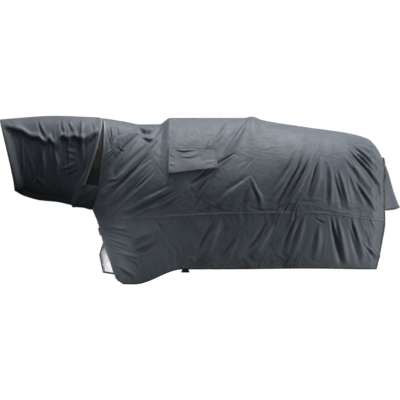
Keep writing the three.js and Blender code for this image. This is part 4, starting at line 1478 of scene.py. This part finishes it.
@dataclass
class NeckCover:
    """The neck cover: mouth panels, neck panels, their seam, bindings and tapes."""

    shape: NeckShape
    finishes: Finishes
    stitches: StitchMaker
    rows: int = 84
    mouth_columns: int = 26
    neck_columns: int = 72

    def build(self) -> None:
        """Makes every piece of the neck cover."""
        for side in Side:
            self.side_pieces(side)
        self.centre_tapes()

    def side_pieces(self, side: Side) -> None:
        """One side's two panels with what is sewn to them."""
        s = np.linspace(0, 1, self.rows + 1)[None, :]
        seam = self.shape.seam(s)
        first = np.linspace(0, 1, self.mouth_columns + 1)[:, None] * seam
        second = lerp(seam, 1.0, np.linspace(0, 1, self.neck_columns + 1)[1:, None])
        k = np.concatenate([first, second])
        base = self.shape.point(side, k, np.broadcast_to(s, k.shape))
        x, z = base[..., 0], base[..., 2]
        folds = FoldField(side, NECK_FOLDS, NECK_TURNS, NECK_BOX, 70, 31 if side is Side.NEAR else 37)
        lift = folds.lift(x, z) + self.overhang(side, x, z)
        flat = arc_map(base)
        u, v = flat[..., 0], flat[..., 1]
        lift *= smooth(v, 0, 0.045) * smooth(v[:, -1:] - v, 0, 0.04)
        lift *= smooth(u - u[:1], 0, 0.05) * smooth(u[-1:] - u, 0, 0.035)
        grid = base + grid_normals(base, side) * lift[..., None]
        normals = grid_normals(grid, side)
        cut = self.mouth_columns
        for part, columns in (("mouth", slice(0, cut + 1)), ("neck", slice(cut, None))):
            name, faces = f"{part}_cloth_{side.word}", (self.finishes.shell, self.finishes.reverse)
            piece = cloth_from_grid(name, grid[columns], side, CLOTH, *faces, flat[columns])
            attach(piece, "neck_cover", "shell", f"{part}_panel_{side.word}")
        self.mouth_seam(side, grid[cut], normals[cut])
        hem = slice(5, -4)
        for place, edge, inside, normal, material in (
            ("mouth", grid[0], grid[1], normals[0], self.finishes.binding),
            # The neck hem's paler piping carries a painted highlight along that edge.
            ("neck_hem", grid[-1, hem], grid[-2, hem], normals[-1, hem], self.finishes.highlight_piping),
        ):
            across = unit(edge - inside)
            self.stitches.bind(place, f"_{side.word}", edge, across, normal, material, "neck_cover")

    def overhang(self, side: Side, x: Array, z: Array) -> Array:
        """How the cloth stands out over the crest and hangs back under it, along a ragged line.

        Args:
            side: Which side it is.
            x: Lengths of places on the side view.
            z: Heights of the same places.

        Returns:
            The outward move at each place.
        """
        shift = 0.0 if side is Side.NEAR else 0.035
        below = through(HANG_LINE, x + shift) - z
        lip = 0.01 * np.exp(-((below + 0.01) / 0.016) ** 2)
        return lip - (0.013 + 0.06 * np.clip(below, 0, 0.25)) * smooth(below, -0.003, 0.014)

    def mouth_seam(self, side: Side, line: Array, normal: Array) -> None:
        """The raised double seam behind the mouth panel.

        Args:
            side: Which side it is.
            line: Points along the seam.
            normal: Unit normals there.
        """
        end, inner = f"_{side.word}", slice(2, -2)
        across = unit(np.cross(normal, unit(np.gradient(line, axis=0))))
        half = [(0.009, -0.0004), (0.0085, 0.0012), (0.0055, 0.0024), (0.0035, 0.0012)]
        ridge = half + [(-a, height) for a, height in reversed(half)]
        shell = self.finishes.shell
        fell = sweep("mouth_seam" + end, line[inner], across[inner], normal[inner], ridge, shell)
        attach(fell, "neck_cover", "shell")
        self.stitches.sew_pair("mouth_seam_stitch", end, line, across * 0.0018, normal, 0.0016, "neck_cover")

    def centre_tapes(self) -> None:
        """The crest and throat seams outside, and the tapes inside them."""
        k = np.linspace(0.004, 0.99, 90)
        fell_section = tape_section(0.014, -0.0012, 0.001, 0.0006)
        tape_inside = tape_section(0.018, -0.0034, -0.0022)
        for name, s, up in (("crest", 0.0, 1.0), ("throat", 1.0, -1.0)):
            line = self.shape.point(Side.FAR, k, np.full_like(k, s))
            across = np.tile([0.0, 1.0, 0.0], (len(line), 1))
            normal = unit(np.cross(unit(np.gradient(line, axis=0)), across))
            normal *= np.sign(normal[:, 2:3]) * up
            fell = sweep(f"{name}_seam", line, across, normal, fell_section, self.finishes.shell)
            cut, made_of = slice(2, -3), self.finishes.tape
            tape = sweep(f"{name}_seam_tape", line[cut], across[cut], normal[cut], tape_inside, made_of)
            attach(fell, "neck_cover", "shell")
            attach(tape, "neck_cover", "webbing", f"{name}_tape")
            self.stitches.sew_pair(f"{name}_stitch", "", line, across * 0.0042, normal, 0.0016, "neck_cover")


@dataclass
class CollarJoin:
    """What joins the neck cover to the body: the touch-fastener band and the throat gusset."""

    body: BodyCloth
    neck: NeckShape
    finishes: Finishes
    band_inset: float = 0.0066
    back_inset: float = 0.009
    behind_inset: float = 0.003
    behind_column: int = 17
    band_rows: int = 72
    band_columns: int = 14

    def build(self) -> None:
        """Makes both bands and the gusset."""
        for side in Side:
            self.band(side)
        self.gusset()

    def band(self, side: Side) -> None:
        """The band under the neck cover's rear hem on one side."""
        base, column = self.body.base[side], self.behind_column
        row = np.linspace(0.02, 8.9, self.band_rows)
        front = self.neck.point(side, 0.965, row / 12, self.band_inset)
        back = self.inset_points(row, base[0], grid_normals(base, side)[0], self.back_inset)
        draped, normals = self.body.draped[side][column], self.body.normals[side][column]
        behind = self.inset_points(row, draped, normals, self.behind_inset)
        share = np.linspace(0, 1, self.band_columns)[:, None, None]
        to_back, to_behind = np.minimum(1, share * 13 / 9), np.clip(share * 13 - 9, 0, 4) / 4
        grid = lerp(lerp(front[None], back[None], to_back), behind[None], to_behind)
        along = np.linspace(0, 11, self.band_rows)[None, :] * np.ones((self.band_columns, 1))
        ripple = value_noise(along, share[..., 0] * 2, 71 + side.value)
        height = 0.0012 + 0.0045 * smooth(row, 3, 8)
        lift = height * ripple * np.sin(math.pi * share[..., 0])
        grid = grid + grid_normals(grid, side) * lift[..., None]
        name = f"touch_band_{side.word}"
        # The band's inner face is the gusset cloth, darkened with painted shade.
        piece = cloth_from_grid(name, grid, side, 0.0014, self.finishes.loops, self.finishes.gusset)
        attach(piece, "sheet", "hook_loop", f"collar_band_{side.word}")

    def inset_points(self, row: Array, column: Array, normals: Array, inset: float) -> Array:
        """Points under a column of the body's cloth.

        Args:
            row: Where they are down the column, ten rows of it to one.
            column: The column's points.
            normals: Its normals.
            inset: How far under the cloth they are.

        Returns:
            One point for each row.
        """
        known = np.arange(len(column))
        return between(row * 10, known, column) - between(row * 10, known, normals) * inset

    def gusset(self) -> None:
        """The soft trough under the throat, from the neck cover's hem back to the collar."""
        u = np.linspace(-1, 1, 81)
        share = np.linspace(0, 1, 22)[:, None]
        rows = []
        for value in u:
            side = Side.NEAR if value < 0 else Side.FAR
            s, sag = 1 - 0.33 * abs(value), 0.007 * (1 - abs(value))
            hem = self.neck.point(side, 0.985, s, -0.005 - sag)
            collar = self.body.shape.collar(side, np.array(s))
            back = np.array([collar[0] - 0.0015, collar[1], collar[2] - 0.003 - sag])
            lip = self.neck.point(side, 0.968, s, -0.0034)
            to_hem, to_back = share[:4] / share[4], (share[4:] - share[4]) / (1 - share[4])
            line = np.vstack([lerp(lip[None], hem[None], to_hem), lerp(hem[None], back[None], to_back)])
            if abs(value) < 1e-9:
                line[:, 1] = 0
            rows.append(line)
        grid = np.array(rows).transpose(1, 0, 2)
        away = unit(np.stack([0 * grid[..., 0], grid[..., 1], grid[..., 2] + 0.38], axis=2))
        across = np.sin(math.pi * smooth(np.linspace(0, 1, 22), 0.1, 1.0))[:, None]
        down, around = np.linspace(0, 3, 22)[:, None] + 0 * u[None], np.abs(u)[None] * 7 + 0 * share
        folds = 0.008 * value_noise(down, around, 83) * across
        grid = grid + away * (0.0015 * smooth(share, 0, 0.2) + folds)[..., None]
        # The gusset's outer face is the darker gusset cloth: painted shade in the trough under the throat.
        faces = (self.finishes.gusset, self.finishes.reverse)
        piece = cloth_from_grid("throat_gusset_cloth", grid[:, ::-1], Side.FAR, CLOTH, *faces)
        attach(piece, "sheet", "shell", "throat_gusset")


# ---- flaps

FLAP_FOLDS = drawn(
    ([(-155, -172), (-100, -180), (-30, -172)], 6, 7),
    ([(-140, -185), (-80, -189), (-20, -183)], 5, 6, CREASE),
    ([(-120, -215), (-60, -215), (20, -190)], 4, 10),
    ([(-178, -200), (-160, -215), (-140, -222)], 4, 6, CREASE),
    ([(-175, -255), (-140, -262)], 4, 8),
    ([(90, -240), (40, -245), (-10, -260)], 3, 10),
)
SIDE_HEM: Line = [
    (-0.01, 0.0001), (-0.009, 0.0007), (0.0002, 0.0009), (0.0008, -0.0006), (0.0002, -0.0021),
    (-0.009, -0.0019), (-0.01, -0.0013),
]
FLAP_WELT: Line = [
    (-0.011, 0.0001), (-0.01, 0.0007), (0.0, 0.0007), (0.006, -0.0006), (0.007, -0.002), (0.0, -0.002),
    (-0.01, -0.0018),
]
TAIL_WELT: Line = [
    (-0.012, 0.0002), (-0.011, 0.0012), (0.0, 0.0014), (0.005, 0.0002), (0.006, -0.004), (0.0, -0.004),
    (-0.011, -0.0022),
]

@dataclass
class StirrupFlaps:
    """The rain flap over each stirrup slot."""

    body: BodyCloth
    finishes: Finishes
    stitches: StitchMaker
    front_x: float = -0.18
    back_x: float = 0.096
    top_z: float = -0.168
    front_drop: float = 0.137
    back_drop: float = 0.106
    top_offset: float = 0.0045
    foot_offset: float = 0.024
    clearance: float = 0.0026
    freedom: float = 0.42
    deepest: float = -0.0012
    fullness: float = 1.12

    def build(self) -> None:
        """Makes both flaps."""
        for side in Side:
            self.flap(side)

    def flap(self, side: Side) -> None:
        """One flap with its bound foot, turned side hems and the welt along its top."""
        end, body = f"_{side.word}", "near_stirrup_flap" if side is Side.NEAR else "far_stirrup_flap"
        grid, shell = self.drape(side), self.finishes.shell
        normals = grid_normals(grid, side)
        cloth = cloth_from_grid("stirrup_flap_cloth" + end, grid, side, CLOTH, shell, self.finishes.reverse)
        attach(cloth, body, "shell", "stirrup_flap" + end)
        across = unit(grid[:, -1] - grid[:, -2])
        self.stitches.bind("flap", end, grid[:, -1], across, normals[:, -1], self.finishes.binding, body)
        for n, column in enumerate((0, -1)):
            line, up = grid[column, :-1], normals[column, :-1]
            out = unit(line - grid[1 if column == 0 else -2, :-1])
            turned = sweep(f"flap_side_hem_{n}{end}", line, out, up, SIDE_HEM, shell)
            attach(turned, body, "shell")
            self.stitches.sew(f"flap_side_stitch_{n}{end}", line - out * 0.007, up, 0.001, body)
        line, up = grid[:, 0], normals[:, 0]
        rise = np.tile([0.0, 0.0, 1.0], (len(line), 1))
        attach(sweep("flap_welt" + end, line, rise, up, FLAP_WELT, shell), body, "shell")
        for n, drop in enumerate((-0.002, -0.008)):
            self.stitches.sew(f"flap_welt_stitch_{n}{end}", line + rise * drop, up, 0.0011, body)

    def drape(self, side: Side) -> Array:
        """Hangs one flap from its sewn top, off the cloth behind it.

        Args:
            side: Which side it is.

        Returns:
            The flap's grid.
        """
        shape = self.body.shape
        u, v = np.linspace(0, 1, 57)[:, None], np.linspace(0, 1, 29)[None, :]
        x = lerp(self.front_x, self.back_x, u) + 0 * v
        z = self.top_z - v * lerp(self.front_drop, self.back_drop, u)
        level, lengths = (self.top_z - v * self.front_drop).ravel(), np.linspace(self.front_x, self.back_x, 7)
        widest = np.array([max(float(shape.half_width_at(a, b)) for a in lengths) for b in level])
        y = widest[None, :] + lerp(self.top_offset, self.foot_offset, v) + 0 * u
        close, _ = self.body.surface(side, x, z)
        on_cloth = np.abs(close[:, 1]).reshape(x.shape) + self.clearance
        y = lerp(on_cloth, y, self.freedom * smooth(v, 0.1, 1.0))
        flip = 1 if side is Side.NEAR else -1
        drawn_x = x * flip + (0 if flip == 1 else self.front_x + self.back_x)
        lift = sum(fold.lift(drawn_x, z) for fold in FLAP_FOLDS)
        lift = lift + 0.002 * value_noise(x * 16, z * 14, 90 + side.value)
        lift = lift + 0.0035 * np.sin(9 * u + 1.2 * flip) * v**2
        lift = np.maximum(lift * smooth(v, 0, 0.1) + 0.002 * v, self.deepest)
        return np.stack([x, side.value * (y + lift), z], axis=2)


@dataclass
class TailFlap:
    """The flap that hangs over the tail."""

    shape: BodyShape
    finishes: Finishes
    stitches: StitchMaker
    half_width: float = 0.15
    length: float = 0.278
    stand_out: float = 0.084
    gap: float = 0.0106
    sewn_drop: float = 0.007
    fullness: float = 1.12
    cut_length: float = 0.33

    def build(self) -> None:
        """Makes the flap, its bound edges and its top welt."""
        # Columns from near to far have their outer face where a near side's columns have it.
        grid = self.drape()
        normals = grid_normals(grid, Side.NEAR)
        faces = (self.finishes.shell, self.finishes.reverse)
        cloth = cloth_from_grid("tail_flap_cloth", grid, Side.NEAR, CLOTH, *faces)
        attach(cloth, "tail_cover", "shell", "tail_flap")
        edge = np.vstack([grid[0, 4:], grid[1:-1, -1], grid[-1, :3:-1]])
        inner = np.vstack([grid[1, 4:], grid[1:-1, -2], grid[-2, :3:-1]])
        normal = np.vstack([normals[0, 4:], normals[1:-1, -1], normals[-1, :3:-1]])
        across = unit(edge - inner)
        for _ in range(3):
            across = unit(np.vstack([across[:1], (across[:-2] + across[1:-1] + across[2:]) / 3, across[-1:]]))
        self.stitches.bind("tail_flap", "", edge, across, normal, self.finishes.binding, "tail_cover")
        line, up, rise = grid[:, 0], normals[:, 0], unit(grid[:, 0] - grid[:, 1])
        attach(sweep("tail_flap_welt", line, rise, up, TAIL_WELT, self.finishes.shell), "tail_cover", "shell")
        self.stitches.sew("tail_flap_welt_stitch", line - rise * 0.003, up, 0.0017, "tail_cover")

    def drape(self) -> Array:
        """Hangs the flap from its sewn top.

        Returns:
            Its grid, its columns from the near side to the far side.
        """
        a, v = np.linspace(-1, 1, 61)[:, None], np.linspace(0, 1, 49)[None, :]
        y = a * self.half_width * (1 - 0.06 * v)
        level = float(through(self.shape.widest_z, self.shape.back_x))
        half = self.shape.half_width[-1][1]
        n = self.shape.roundness[-1][1]
        arch = (1 - np.abs(a * self.half_width / half) ** n) ** (1 / n)
        top = level + (-self.shape.back_top_drop - level) * arch - self.sewn_drop
        foot = -self.shape.back_top_drop - self.length - 0.02 * np.abs(a)
        x = self.shape.back_x + self.gap + self.stand_out * (1 - a * a) * v**1.35
        folds = 0.006 * value_noise(a * 4.2 + 3, v * 1.1, 97) + 0.003 * value_noise(a * 9, v * 2.4 + 2, 98)
        folds = folds + 0.004 * np.cos(a * 9.0)
        x = x + 0.0018 + (folds + 0.003) * smooth(v, 0, 0.35)
        return np.stack([x, y, lerp(top, foot, v)], axis=2)


# ---- chest closure


@dataclass
class ChestClosure:
    """The overlap behind the chest line, and the tab with its touch fastener."""

    shape: BodyShape
    finishes: Finishes
    stitches: StitchMaker
    tab_width: float = 0.044
    reach: float = 0.062
    tab_z: float = -0.64
    corner: float = 0.006
    sunk: float = 0.0004

    def strip(self, y: Array, z: Array, lift: float) -> Array:
        """Points over the front of the chest.

        Args:
            y: Their places across the chest.
            z: Their heights.
            lift: How far they stand off the cloth.

        Returns:
            One point for each place.
        """
        t = (z - self.shape.chest_seam[1]) / (self.shape.chest_end[1] - self.shape.chest_seam[1])
        front = lerp(self.shape.chest_seam[0], self.shape.chest_end[0], t)
        depth = (self.shape.shoulder_x - front) * np.sqrt(1 - (y / self.shape.half_width[0][1]) ** 2)
        return np.stack([self.shape.shoulder_x - depth - lift, y, z], axis=2)

    def patch(
        self, name: str, y: Pair, z: Pair, lift: float, thick: float, faces: Faces, round_ends: bool = True
    ) -> tuple[Object, Array, Array]:
        """A cloth patch over the chest.

        Args:
            name: The piece's name.
            y: Where it starts and ends across the chest.
            z: Its top and its foot.
            lift: Height of its outer face above the cloth.
            thick: Its thickness.
            faces: Materials of its outer and its inner face.
            round_ends: Whether its ends are rounded.

        Returns:
            The object, its grid and its normals.
        """
        across, down = np.linspace(*y, 33)[:, None], np.linspace(*z, 15)[None, :]
        y_all, z_all, corner = across + 0 * down, down + 0 * across, self.corner
        if round_ends:
            end = np.clip((np.abs(y_all - sum(y) / 2) - (abs(y[1] - y[0]) / 2 - corner)) / corner, 0, 1)
            narrow = 1 - corner * 2 / abs(z[0] - z[1])
            z_all = lerp(z_all, sum(z) / 2 + (z_all - sum(z) / 2) * narrow, end**2)
        grid = self.strip(y_all, z_all, lift)
        return cloth_from_grid(name, grid, Side.FAR, thick, *faces), grid, grid_normals(grid, Side.FAR)

    def build(self) -> None:
        """Makes the underlap, the two fastener patches and the tab with its stitching."""
        top, foot, f = self.tab_z + self.tab_width / 2, self.tab_z - self.tab_width / 2, self.finishes
        shell, loop = (f.shell, f.reverse), (f.loops, f.webbing)
        hook, web = (f.webbing, f.hooks), (f.webbing, f.webbing)
        lap, _, _ = self.patch("underlap_cloth", (-0.046, 0.046), (-0.584, -0.698), -0.0034, CLOTH, shell)
        attach(lap, "sheet", "shell", "chest_underlap")
        z = (top - 0.002, foot + 0.002)
        loops, _, _ = self.patch("loop_pad", (0.008, 0.076), z, 0.0024, 0.0018, loop, False)
        attach(loops, "sheet", "hook_loop", "chest_loop_patch")
        z = (top - 0.004, foot + 0.004)
        hooks, _, _ = self.patch("hook_pad", (0.014, 0.058), z, 0.0045, 0.0016, hook)
        attach(hooks, "chest_fastener", "hook_loop", "chest_hook_patch")
        y, z = (-self.reach, self.reach), (top, foot)
        tab, grid, normals = self.patch("closing_tab", y, z, 0.0071, 0.0016, web)
        attach(tab, "chest_fastener", "webbing", "chest_tab")
        for n, row in enumerate((1, -2)):
            line, up = grid[2:-2, row], normals[2:-2, row]
            self.stitches.sew(f"tab_stitch_{n}", line, up, self.sunk, "chest_fastener")
        for n, column in enumerate((3, 9, 23, 29)):
            line, up = grid[column, 1:-1], normals[column, 1:-1]
            self.stitches.sew(f"tab_cross_stitch_{n}", line, up, self.sunk, "chest_fastener")


# ---- belly strap


@dataclass
class BellyStrap:
    """The strap under the belly with its ring, eye, hook and slide."""

    shape: BodyShape
    finishes: Finishes
    stitches: StitchMaker
    x: float = -0.083
    width: float = 0.038
    thickness: float = 0.0018
    wire: float = 0.002
    ring_height: float = 0.01
    tab_length: float = 0.046
    tab_inset: float = 0.0036
    sag: float = 0.034
    loop_inset: float = 0.009

    def __post_init__(self) -> None:
        """Works out the strap's span from the body."""
        self.z = self.shape.hem_z + 0.001
        half = float(self.shape.half_width_at(np.array(self.x), np.array(self.z)))
        self.span = half - self.loop_inset - 0.0028

    def height(self, y: Array | float) -> Array | float:
        """Height of the hanging strap's middle at the distance y from the centre."""
        return self.z - self.sag * (1 - (y / (self.span - 0.01)) ** 2)

    def build(self) -> None:
        """Makes the tabs, ring, eye, strap, hook and slide."""
        self.loop_ring("strap_ring", "belly_ring", self.span)
        self.loop_ring("strap_eye", "belly_eye", -self.span)
        for side in Side:
            self.tab(side)
        self.strap()
        self.hook()
        self.slide()

    def edit(self, obj: Object) -> bmesh.types.BMesh:
        """Goes into edit mode with nothing selected."""
        only(obj)
        bpy.ops.object.mode_set(mode="EDIT")
        bpy.ops.mesh.select_all(action="DESELECT")
        return bmesh.from_edit_mesh(obj.data)

    def pick(self, obj: Object, test: Callable[[bmesh.types.BMFace], bool]) -> None:
        """Selects the faces of an object in edit mode that pass a test."""
        mesh = bmesh.from_edit_mesh(obj.data)
        for face in mesh.faces:
            face.select_set(bool(test(face)))
        mesh.select_flush_mode()
        bmesh.update_edit_mesh(obj.data)

    def finish(self, obj: Object, name: str, body: str, node: str, slot: str, material: Material) -> None:
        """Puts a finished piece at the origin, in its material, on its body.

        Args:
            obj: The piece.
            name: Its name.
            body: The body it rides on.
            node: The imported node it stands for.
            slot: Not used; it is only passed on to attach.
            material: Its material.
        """
        only(obj)
        bpy.ops.object.transform_apply(location=True, rotation=True, scale=True)
        obj.name = obj.data.name = name
        obj.data.materials.clear()
        obj.data.materials.append(material)
        bpy.ops.object.shade_smooth_by_angle(angle=0.7)
        attach(obj, body, slot, node)

    def loop_ring(self, name: str, node: str, y: float) -> None:
        """A rounded oblong ring of wire standing in the X-Z plane on its lower bar.

        Args:
            name: The piece's name.
            node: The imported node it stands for.
            y: Where it is across the sheet.
        """
        inner_length, inner_height, r = self.width + 0.002, self.ring_height, self.wire
        bpy.ops.object.select_all(action="DESELECT")
        bpy.ops.mesh.primitive_torus_add(
            major_segments=32, minor_segments=14, major_radius=inner_height / 2 + r, minor_radius=r,
            location=(self.x, y, self.z + inner_height / 2 + r), rotation=(math.pi / 2, 0, 0),
        )
        ring = bpy.context.object
        bpy.ops.object.transform_apply(location=True, rotation=True, scale=True)
        self.edit(ring)
        stretch = (inner_length - inner_height) / 2
        for sign in (-1, 1):
            mesh = bmesh.from_edit_mesh(ring.data)
            for vert in mesh.verts:
                vert.select_set(sign * (vert.co.x - self.x) > 1e-6)
            mesh.select_flush_mode()
            bmesh.update_edit_mesh(ring.data)
            bpy.ops.transform.translate(value=(sign * stretch, 0, 0))
            bpy.ops.mesh.select_all(action="DESELECT")
        bpy.ops.object.mode_set(mode="OBJECT")
        self.finish(ring, name, "sheet", node, "steel", self.finishes.steel)

    def tab(self, side: Side) -> None:
        """The webbing tab that holds the ring or the eye, doubled and sewn to the skirt in two rows."""
        count, end, sewn = 20, f"_{side.word}", slice(1, -6)
        low = self.z + 3 * self.wire + self.ring_height
        skirt_y = float(self.shape.half_width_at(np.array(self.x - self.width), np.array(self.z)))
        face = skirt_y - self.tab_inset
        z = np.linspace(low + self.tab_length, low - 0.006, count)
        line = np.stack([np.full(count, self.x), np.full(count, side.value * face), z], axis=1)
        line[:, 1] -= side.value * 0.006 * smooth(-z, -low - 0.004, -low + 0.006)
        across = np.tile([1.0, 0.0, 0.0], (count, 1))
        normal = np.tile([0.0, float(side.value), 0.0], (count, 1))
        doubled = tape_section(self.width, -0.003, 0.0)
        piece = sweep("strap_tab" + end, line, across, normal, doubled, self.finishes.webbing)
        attach(piece, "sheet", "webbing", "belly_tab" + end)
        aside = across[sewn] * 0.4 * self.width
        self.stitches.sew_pair("strap_tab_stitch", end, line[sewn], aside, -normal[sewn], 0.0032, "sheet")

    def strap(self) -> None:
        """The strap: a sleeve round the ring and the hanging webbing."""
        inner, half = self.wire * math.sqrt(2) + 0.0006, self.thickness / 2
        middle, turns, steps = inner + half, 30, 150
        start, stop = self.span - inner - 0.4 * self.thickness, -self.span + 0.022
        around = np.linspace(math.pi * 1.02, -math.pi * 0.98, turns)
        round_y, round_z = self.span + middle * np.cos(around), self.z + middle * np.sin(around)
        loop = np.stack([np.full(turns, self.x), round_y, round_z], axis=1)
        y = np.linspace(start - 0.004, stop, steps)
        z = lerp(self.z - middle, self.height(y), smooth(start - y, 0.0, 0.02))
        line = np.vstack([loop, np.stack([np.full(steps, self.x), y, z], axis=1)])
        across = np.tile([1.0, 0.0, 0.0], (len(line), 1))
        normal = unit(np.cross(unit(np.gradient(line, axis=0)), across))
        section = tape_section(self.width, -half, half)
        piece = sweep("strap_webbing", line, across, normal, section, self.finishes.webbing)
        attach(piece, "belly_surcingle", "webbing", "belly_strap")
        sewn = slice(36, 60)
        aside = across[sewn] * 0.42 * self.width
        body, lift = "belly_surcingle", half + 0.0002
        self.stitches.sew_pair("strap_stitch", "", line[sewn], aside, normal[sewn], lift, body)

    def hook(self) -> None:
        """The flat steel hook at the strap's near end."""
        low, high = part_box("belly_hook")
        size, middle = high - low, (low + high) / 2
        bpy.ops.object.select_all(action="DESELECT")
        bpy.ops.mesh.primitive_cube_add(size=1, location=middle)
        hook = bpy.context.object
        hook.scale = size
        bpy.ops.object.transform_apply(location=True, rotation=True, scale=True)
        self.edit(hook)
        bpy.ops.mesh.select_all(action="SELECT")
        for share in (0.35, 0.5):
            place = (middle.x, lerp(low.y, high.y, 1 - share), middle.z)
            bpy.ops.mesh.bisect(plane_co=place, plane_no=(0, 1, 0))
            bpy.ops.mesh.select_all(action="SELECT")
        mesh = bmesh.from_edit_mesh(hook.data)
        for vert in mesh.verts:
            vert.select_set(vert.co.y < lerp(low.y, high.y, 0.51))
        mesh.select_flush_mode()
        bmesh.update_edit_mesh(hook.data)
        bpy.ops.transform.resize(value=(0.5, 1, 1), center_override=middle)
        broad_end = lerp(low.y, high.y, 0.66)
        self.pick(hook, lambda f: abs(f.normal.z) > 0.9 and f.calc_center_median().y > broad_end)
        bpy.ops.mesh.inset(thickness=0.0022, depth=-0.0007, use_individual=True)
        bpy.ops.object.mode_set(mode="OBJECT")
        bevel = hook.modifiers.new("soft_edges", "BEVEL")
        bevel.width, bevel.segments, bevel.limit_method = 0.0006, 3, "ANGLE"
        apply_all(hook)
        self.finish(hook, "strap_hook", "belly_surcingle", "belly_hook", "steel", self.finishes.steel)

    def slide(self) -> None:
        """The moulded slide that takes up the strap's length."""
        y = -0.45 * self.span
        tilt = 2 * self.sag * y / (self.span - 0.01) ** 2
        bpy.ops.object.select_all(action="DESELECT")
        bpy.ops.mesh.primitive_cube_add(size=1)
        slide = bpy.context.object
        slide.scale = (self.width + 0.01, 0.026, self.thickness + 0.007)
        bpy.ops.object.transform_apply(location=True, rotation=True, scale=True)
        self.edit(slide)
        self.pick(slide, lambda f: abs(f.normal.y) > 0.9)
        bpy.ops.mesh.inset(thickness=0.0026)
        bpy.ops.mesh.bridge_edge_loops()
        self.pick(slide, lambda f: abs(f.normal.z) > 0.9 and abs(f.calc_center_median().z) > 0.003)
        bpy.ops.mesh.inset(thickness=0.004, depth=-0.0006)
        bpy.ops.object.mode_set(mode="OBJECT")
        bevel = slide.modifiers.new("soft_edges", "BEVEL")
        bevel.width, bevel.segments, bevel.limit_method = 0.0005, 3, "ANGLE"
        apply_all(slide)
        slide.rotation_euler = (tilt, 0, 0)
        slide.location = (self.x, y, float(self.height(y)))
        self.finish(slide, "strap_slide", "belly_surcingle", "belly_slide", "plastic", self.finishes.plastic)


# ---- studio


@dataclass
class Studio:
    """Floor, soft light and camera."""

    lens: float = 300.0
    view_width: float = 2.28
    aim: Triple = (0.0, 0.0, -0.459)
    floor_z: float = -1.55

    def build(self) -> None:
        """Makes the floor, the lights, the surroundings and the camera."""
        self.floor()
        self.world()
        self.lamp("overhead", (0.35, -0.25, 3.1), (0.15, 0, -0.3), 2.0, 0.8, 270)
        self.lamp("front_fill", (2.8, -4.2, 0.5), (0.3, 0, -0.5), 2.0, 1.4, 9)
        self.lamp("rear_fill", (4.0, -1.5, -0.2), (0.95, 0, -0.45), 1.2, 1.2, 13, 40)
        self.lamp("shoulder_fill", (-2.6, -3.2, -0.6), (-0.42, -0.2, -0.66), 0.5, 0.5, 0.5, 14)
        self.lamp("chest_fill", (-0.9, -3.6, -0.85), (-0.6, 0, -0.79), 0.2, 0.2, 0.6, 7)
        self.camera()
        view = bpy.context.scene.view_settings
        view.view_transform, view.look = "Standard", "None"

    def floor(self) -> None:
        """The pale floor, which casts no light back on the cloth."""
        bpy.ops.object.select_all(action="DESELECT")
        where = (0, 0, self.floor_z)
        bpy.ops.mesh.primitive_circle_add(vertices=64, radius=60, fill_type="NGON", location=where)
        floor = bpy.context.object
        floor.name = "studio_floor"
        floor.data.materials.append(StudioFloor().make())
        floor.visible_diffuse = floor.visible_glossy = False

    def world(self) -> None:
        """Pale surroundings: white behind the sheet, soft from above and dim from below."""
        world = bpy.data.worlds.new("studio")
        bpy.context.scene.world = world
        world.use_nodes = True
        tree = world.node_tree
        tree.nodes.clear()
        new, link = tree.nodes.new, tree.links.new
        split = new("ShaderNodeSeparateXYZ")
        link(new("ShaderNodeTexCoord").outputs["Generated"], split.inputs[0])
        height = new("ShaderNodeMapRange")
        for key, value in (("From Min", -0.5), ("From Max", 0.9), ("To Min", 0.02), ("To Max", 0.55)):
            height.inputs[key].default_value = value
        link(split.outputs[2], height.inputs[0])
        soft, white = new("ShaderNodeBackground"), new("ShaderNodeBackground")
        soft.inputs["Color"].default_value = (0.93, 0.97, 1, 1)
        link(height.outputs[0], soft.inputs["Strength"])
        white.inputs["Color"].default_value = (1, 1, 1, 1)
        mix, out = new("ShaderNodeMixShader"), new("ShaderNodeOutputWorld")
        link(new("ShaderNodeLightPath").outputs["Is Camera Ray"], mix.inputs[0])
        link(soft.outputs[0], mix.inputs[1])
        link(white.outputs[0], mix.inputs[2])
        link(mix.outputs[0], out.inputs[0])

    def lamp(
        self, name: str, place: Triple, at: Triple, wide: float, deep: float, power: float, beam: float = 180
    ) -> None:
        """One soft area light.

        Args:
            name: Its name.
            place: Where it hangs.
            at: What it faces.
            wide: Its width.
            deep: Its depth.
            power: Its power in watts.
            beam: The angle of its beam in degrees.
        """
        data = bpy.data.lights.new(name, "AREA")
        data.shape, data.size, data.size_y, data.energy = "RECTANGLE", wide, deep, power
        data.spread = math.radians(beam)
        lamp = bpy.data.objects.new(name, data)
        lamp.location = place
        lamp.rotation_euler = (Vector(at) - Vector(place)).to_track_quat("-Z", "Y").to_euler()
        bpy.context.scene.collection.objects.link(lamp)

    def camera(self) -> None:
        """A long lens looking straight at the near side."""
        data = bpy.data.cameras.new("camera")
        data.lens, data.sensor_width, data.clip_end = self.lens, 36, 200
        camera = bpy.data.objects.new("camera", data)
        camera.location = (self.aim[0], -self.view_width * self.lens / 36, self.aim[2])
        camera.rotation_euler = (math.pi / 2, 0, 0)
        bpy.context.scene.collection.objects.link(camera)
        bpy.context.scene.camera = camera


def main() -> None:
    """Builds the whole sheet in order."""
    logging.basicConfig(level=logging.INFO, format="%(name)s: %(message)s")
    Studio().build()
    finishes = Finishes()
    stitches = StitchMaker(finishes)
    shape = BodyShape()
    neck_shape = NeckShape(shape)
    body = BodyCloth(shape, finishes, stitches)
    body.build()
    log.info("body built")
    NeckCover(neck_shape, finishes, stitches).build()
    log.info("neck cover built")
    CollarJoin(body, neck_shape, finishes).build()
    StirrupFlaps(body, finishes, stitches).build()
    TailFlap(shape, finishes, stitches).build()
    log.info("flaps built")
    ChestClosure(shape, finishes, stitches).build()
    BellyStrap(shape, finishes, stitches).build()
    log.info("strap built")


if __name__ == "__main__":
    main()
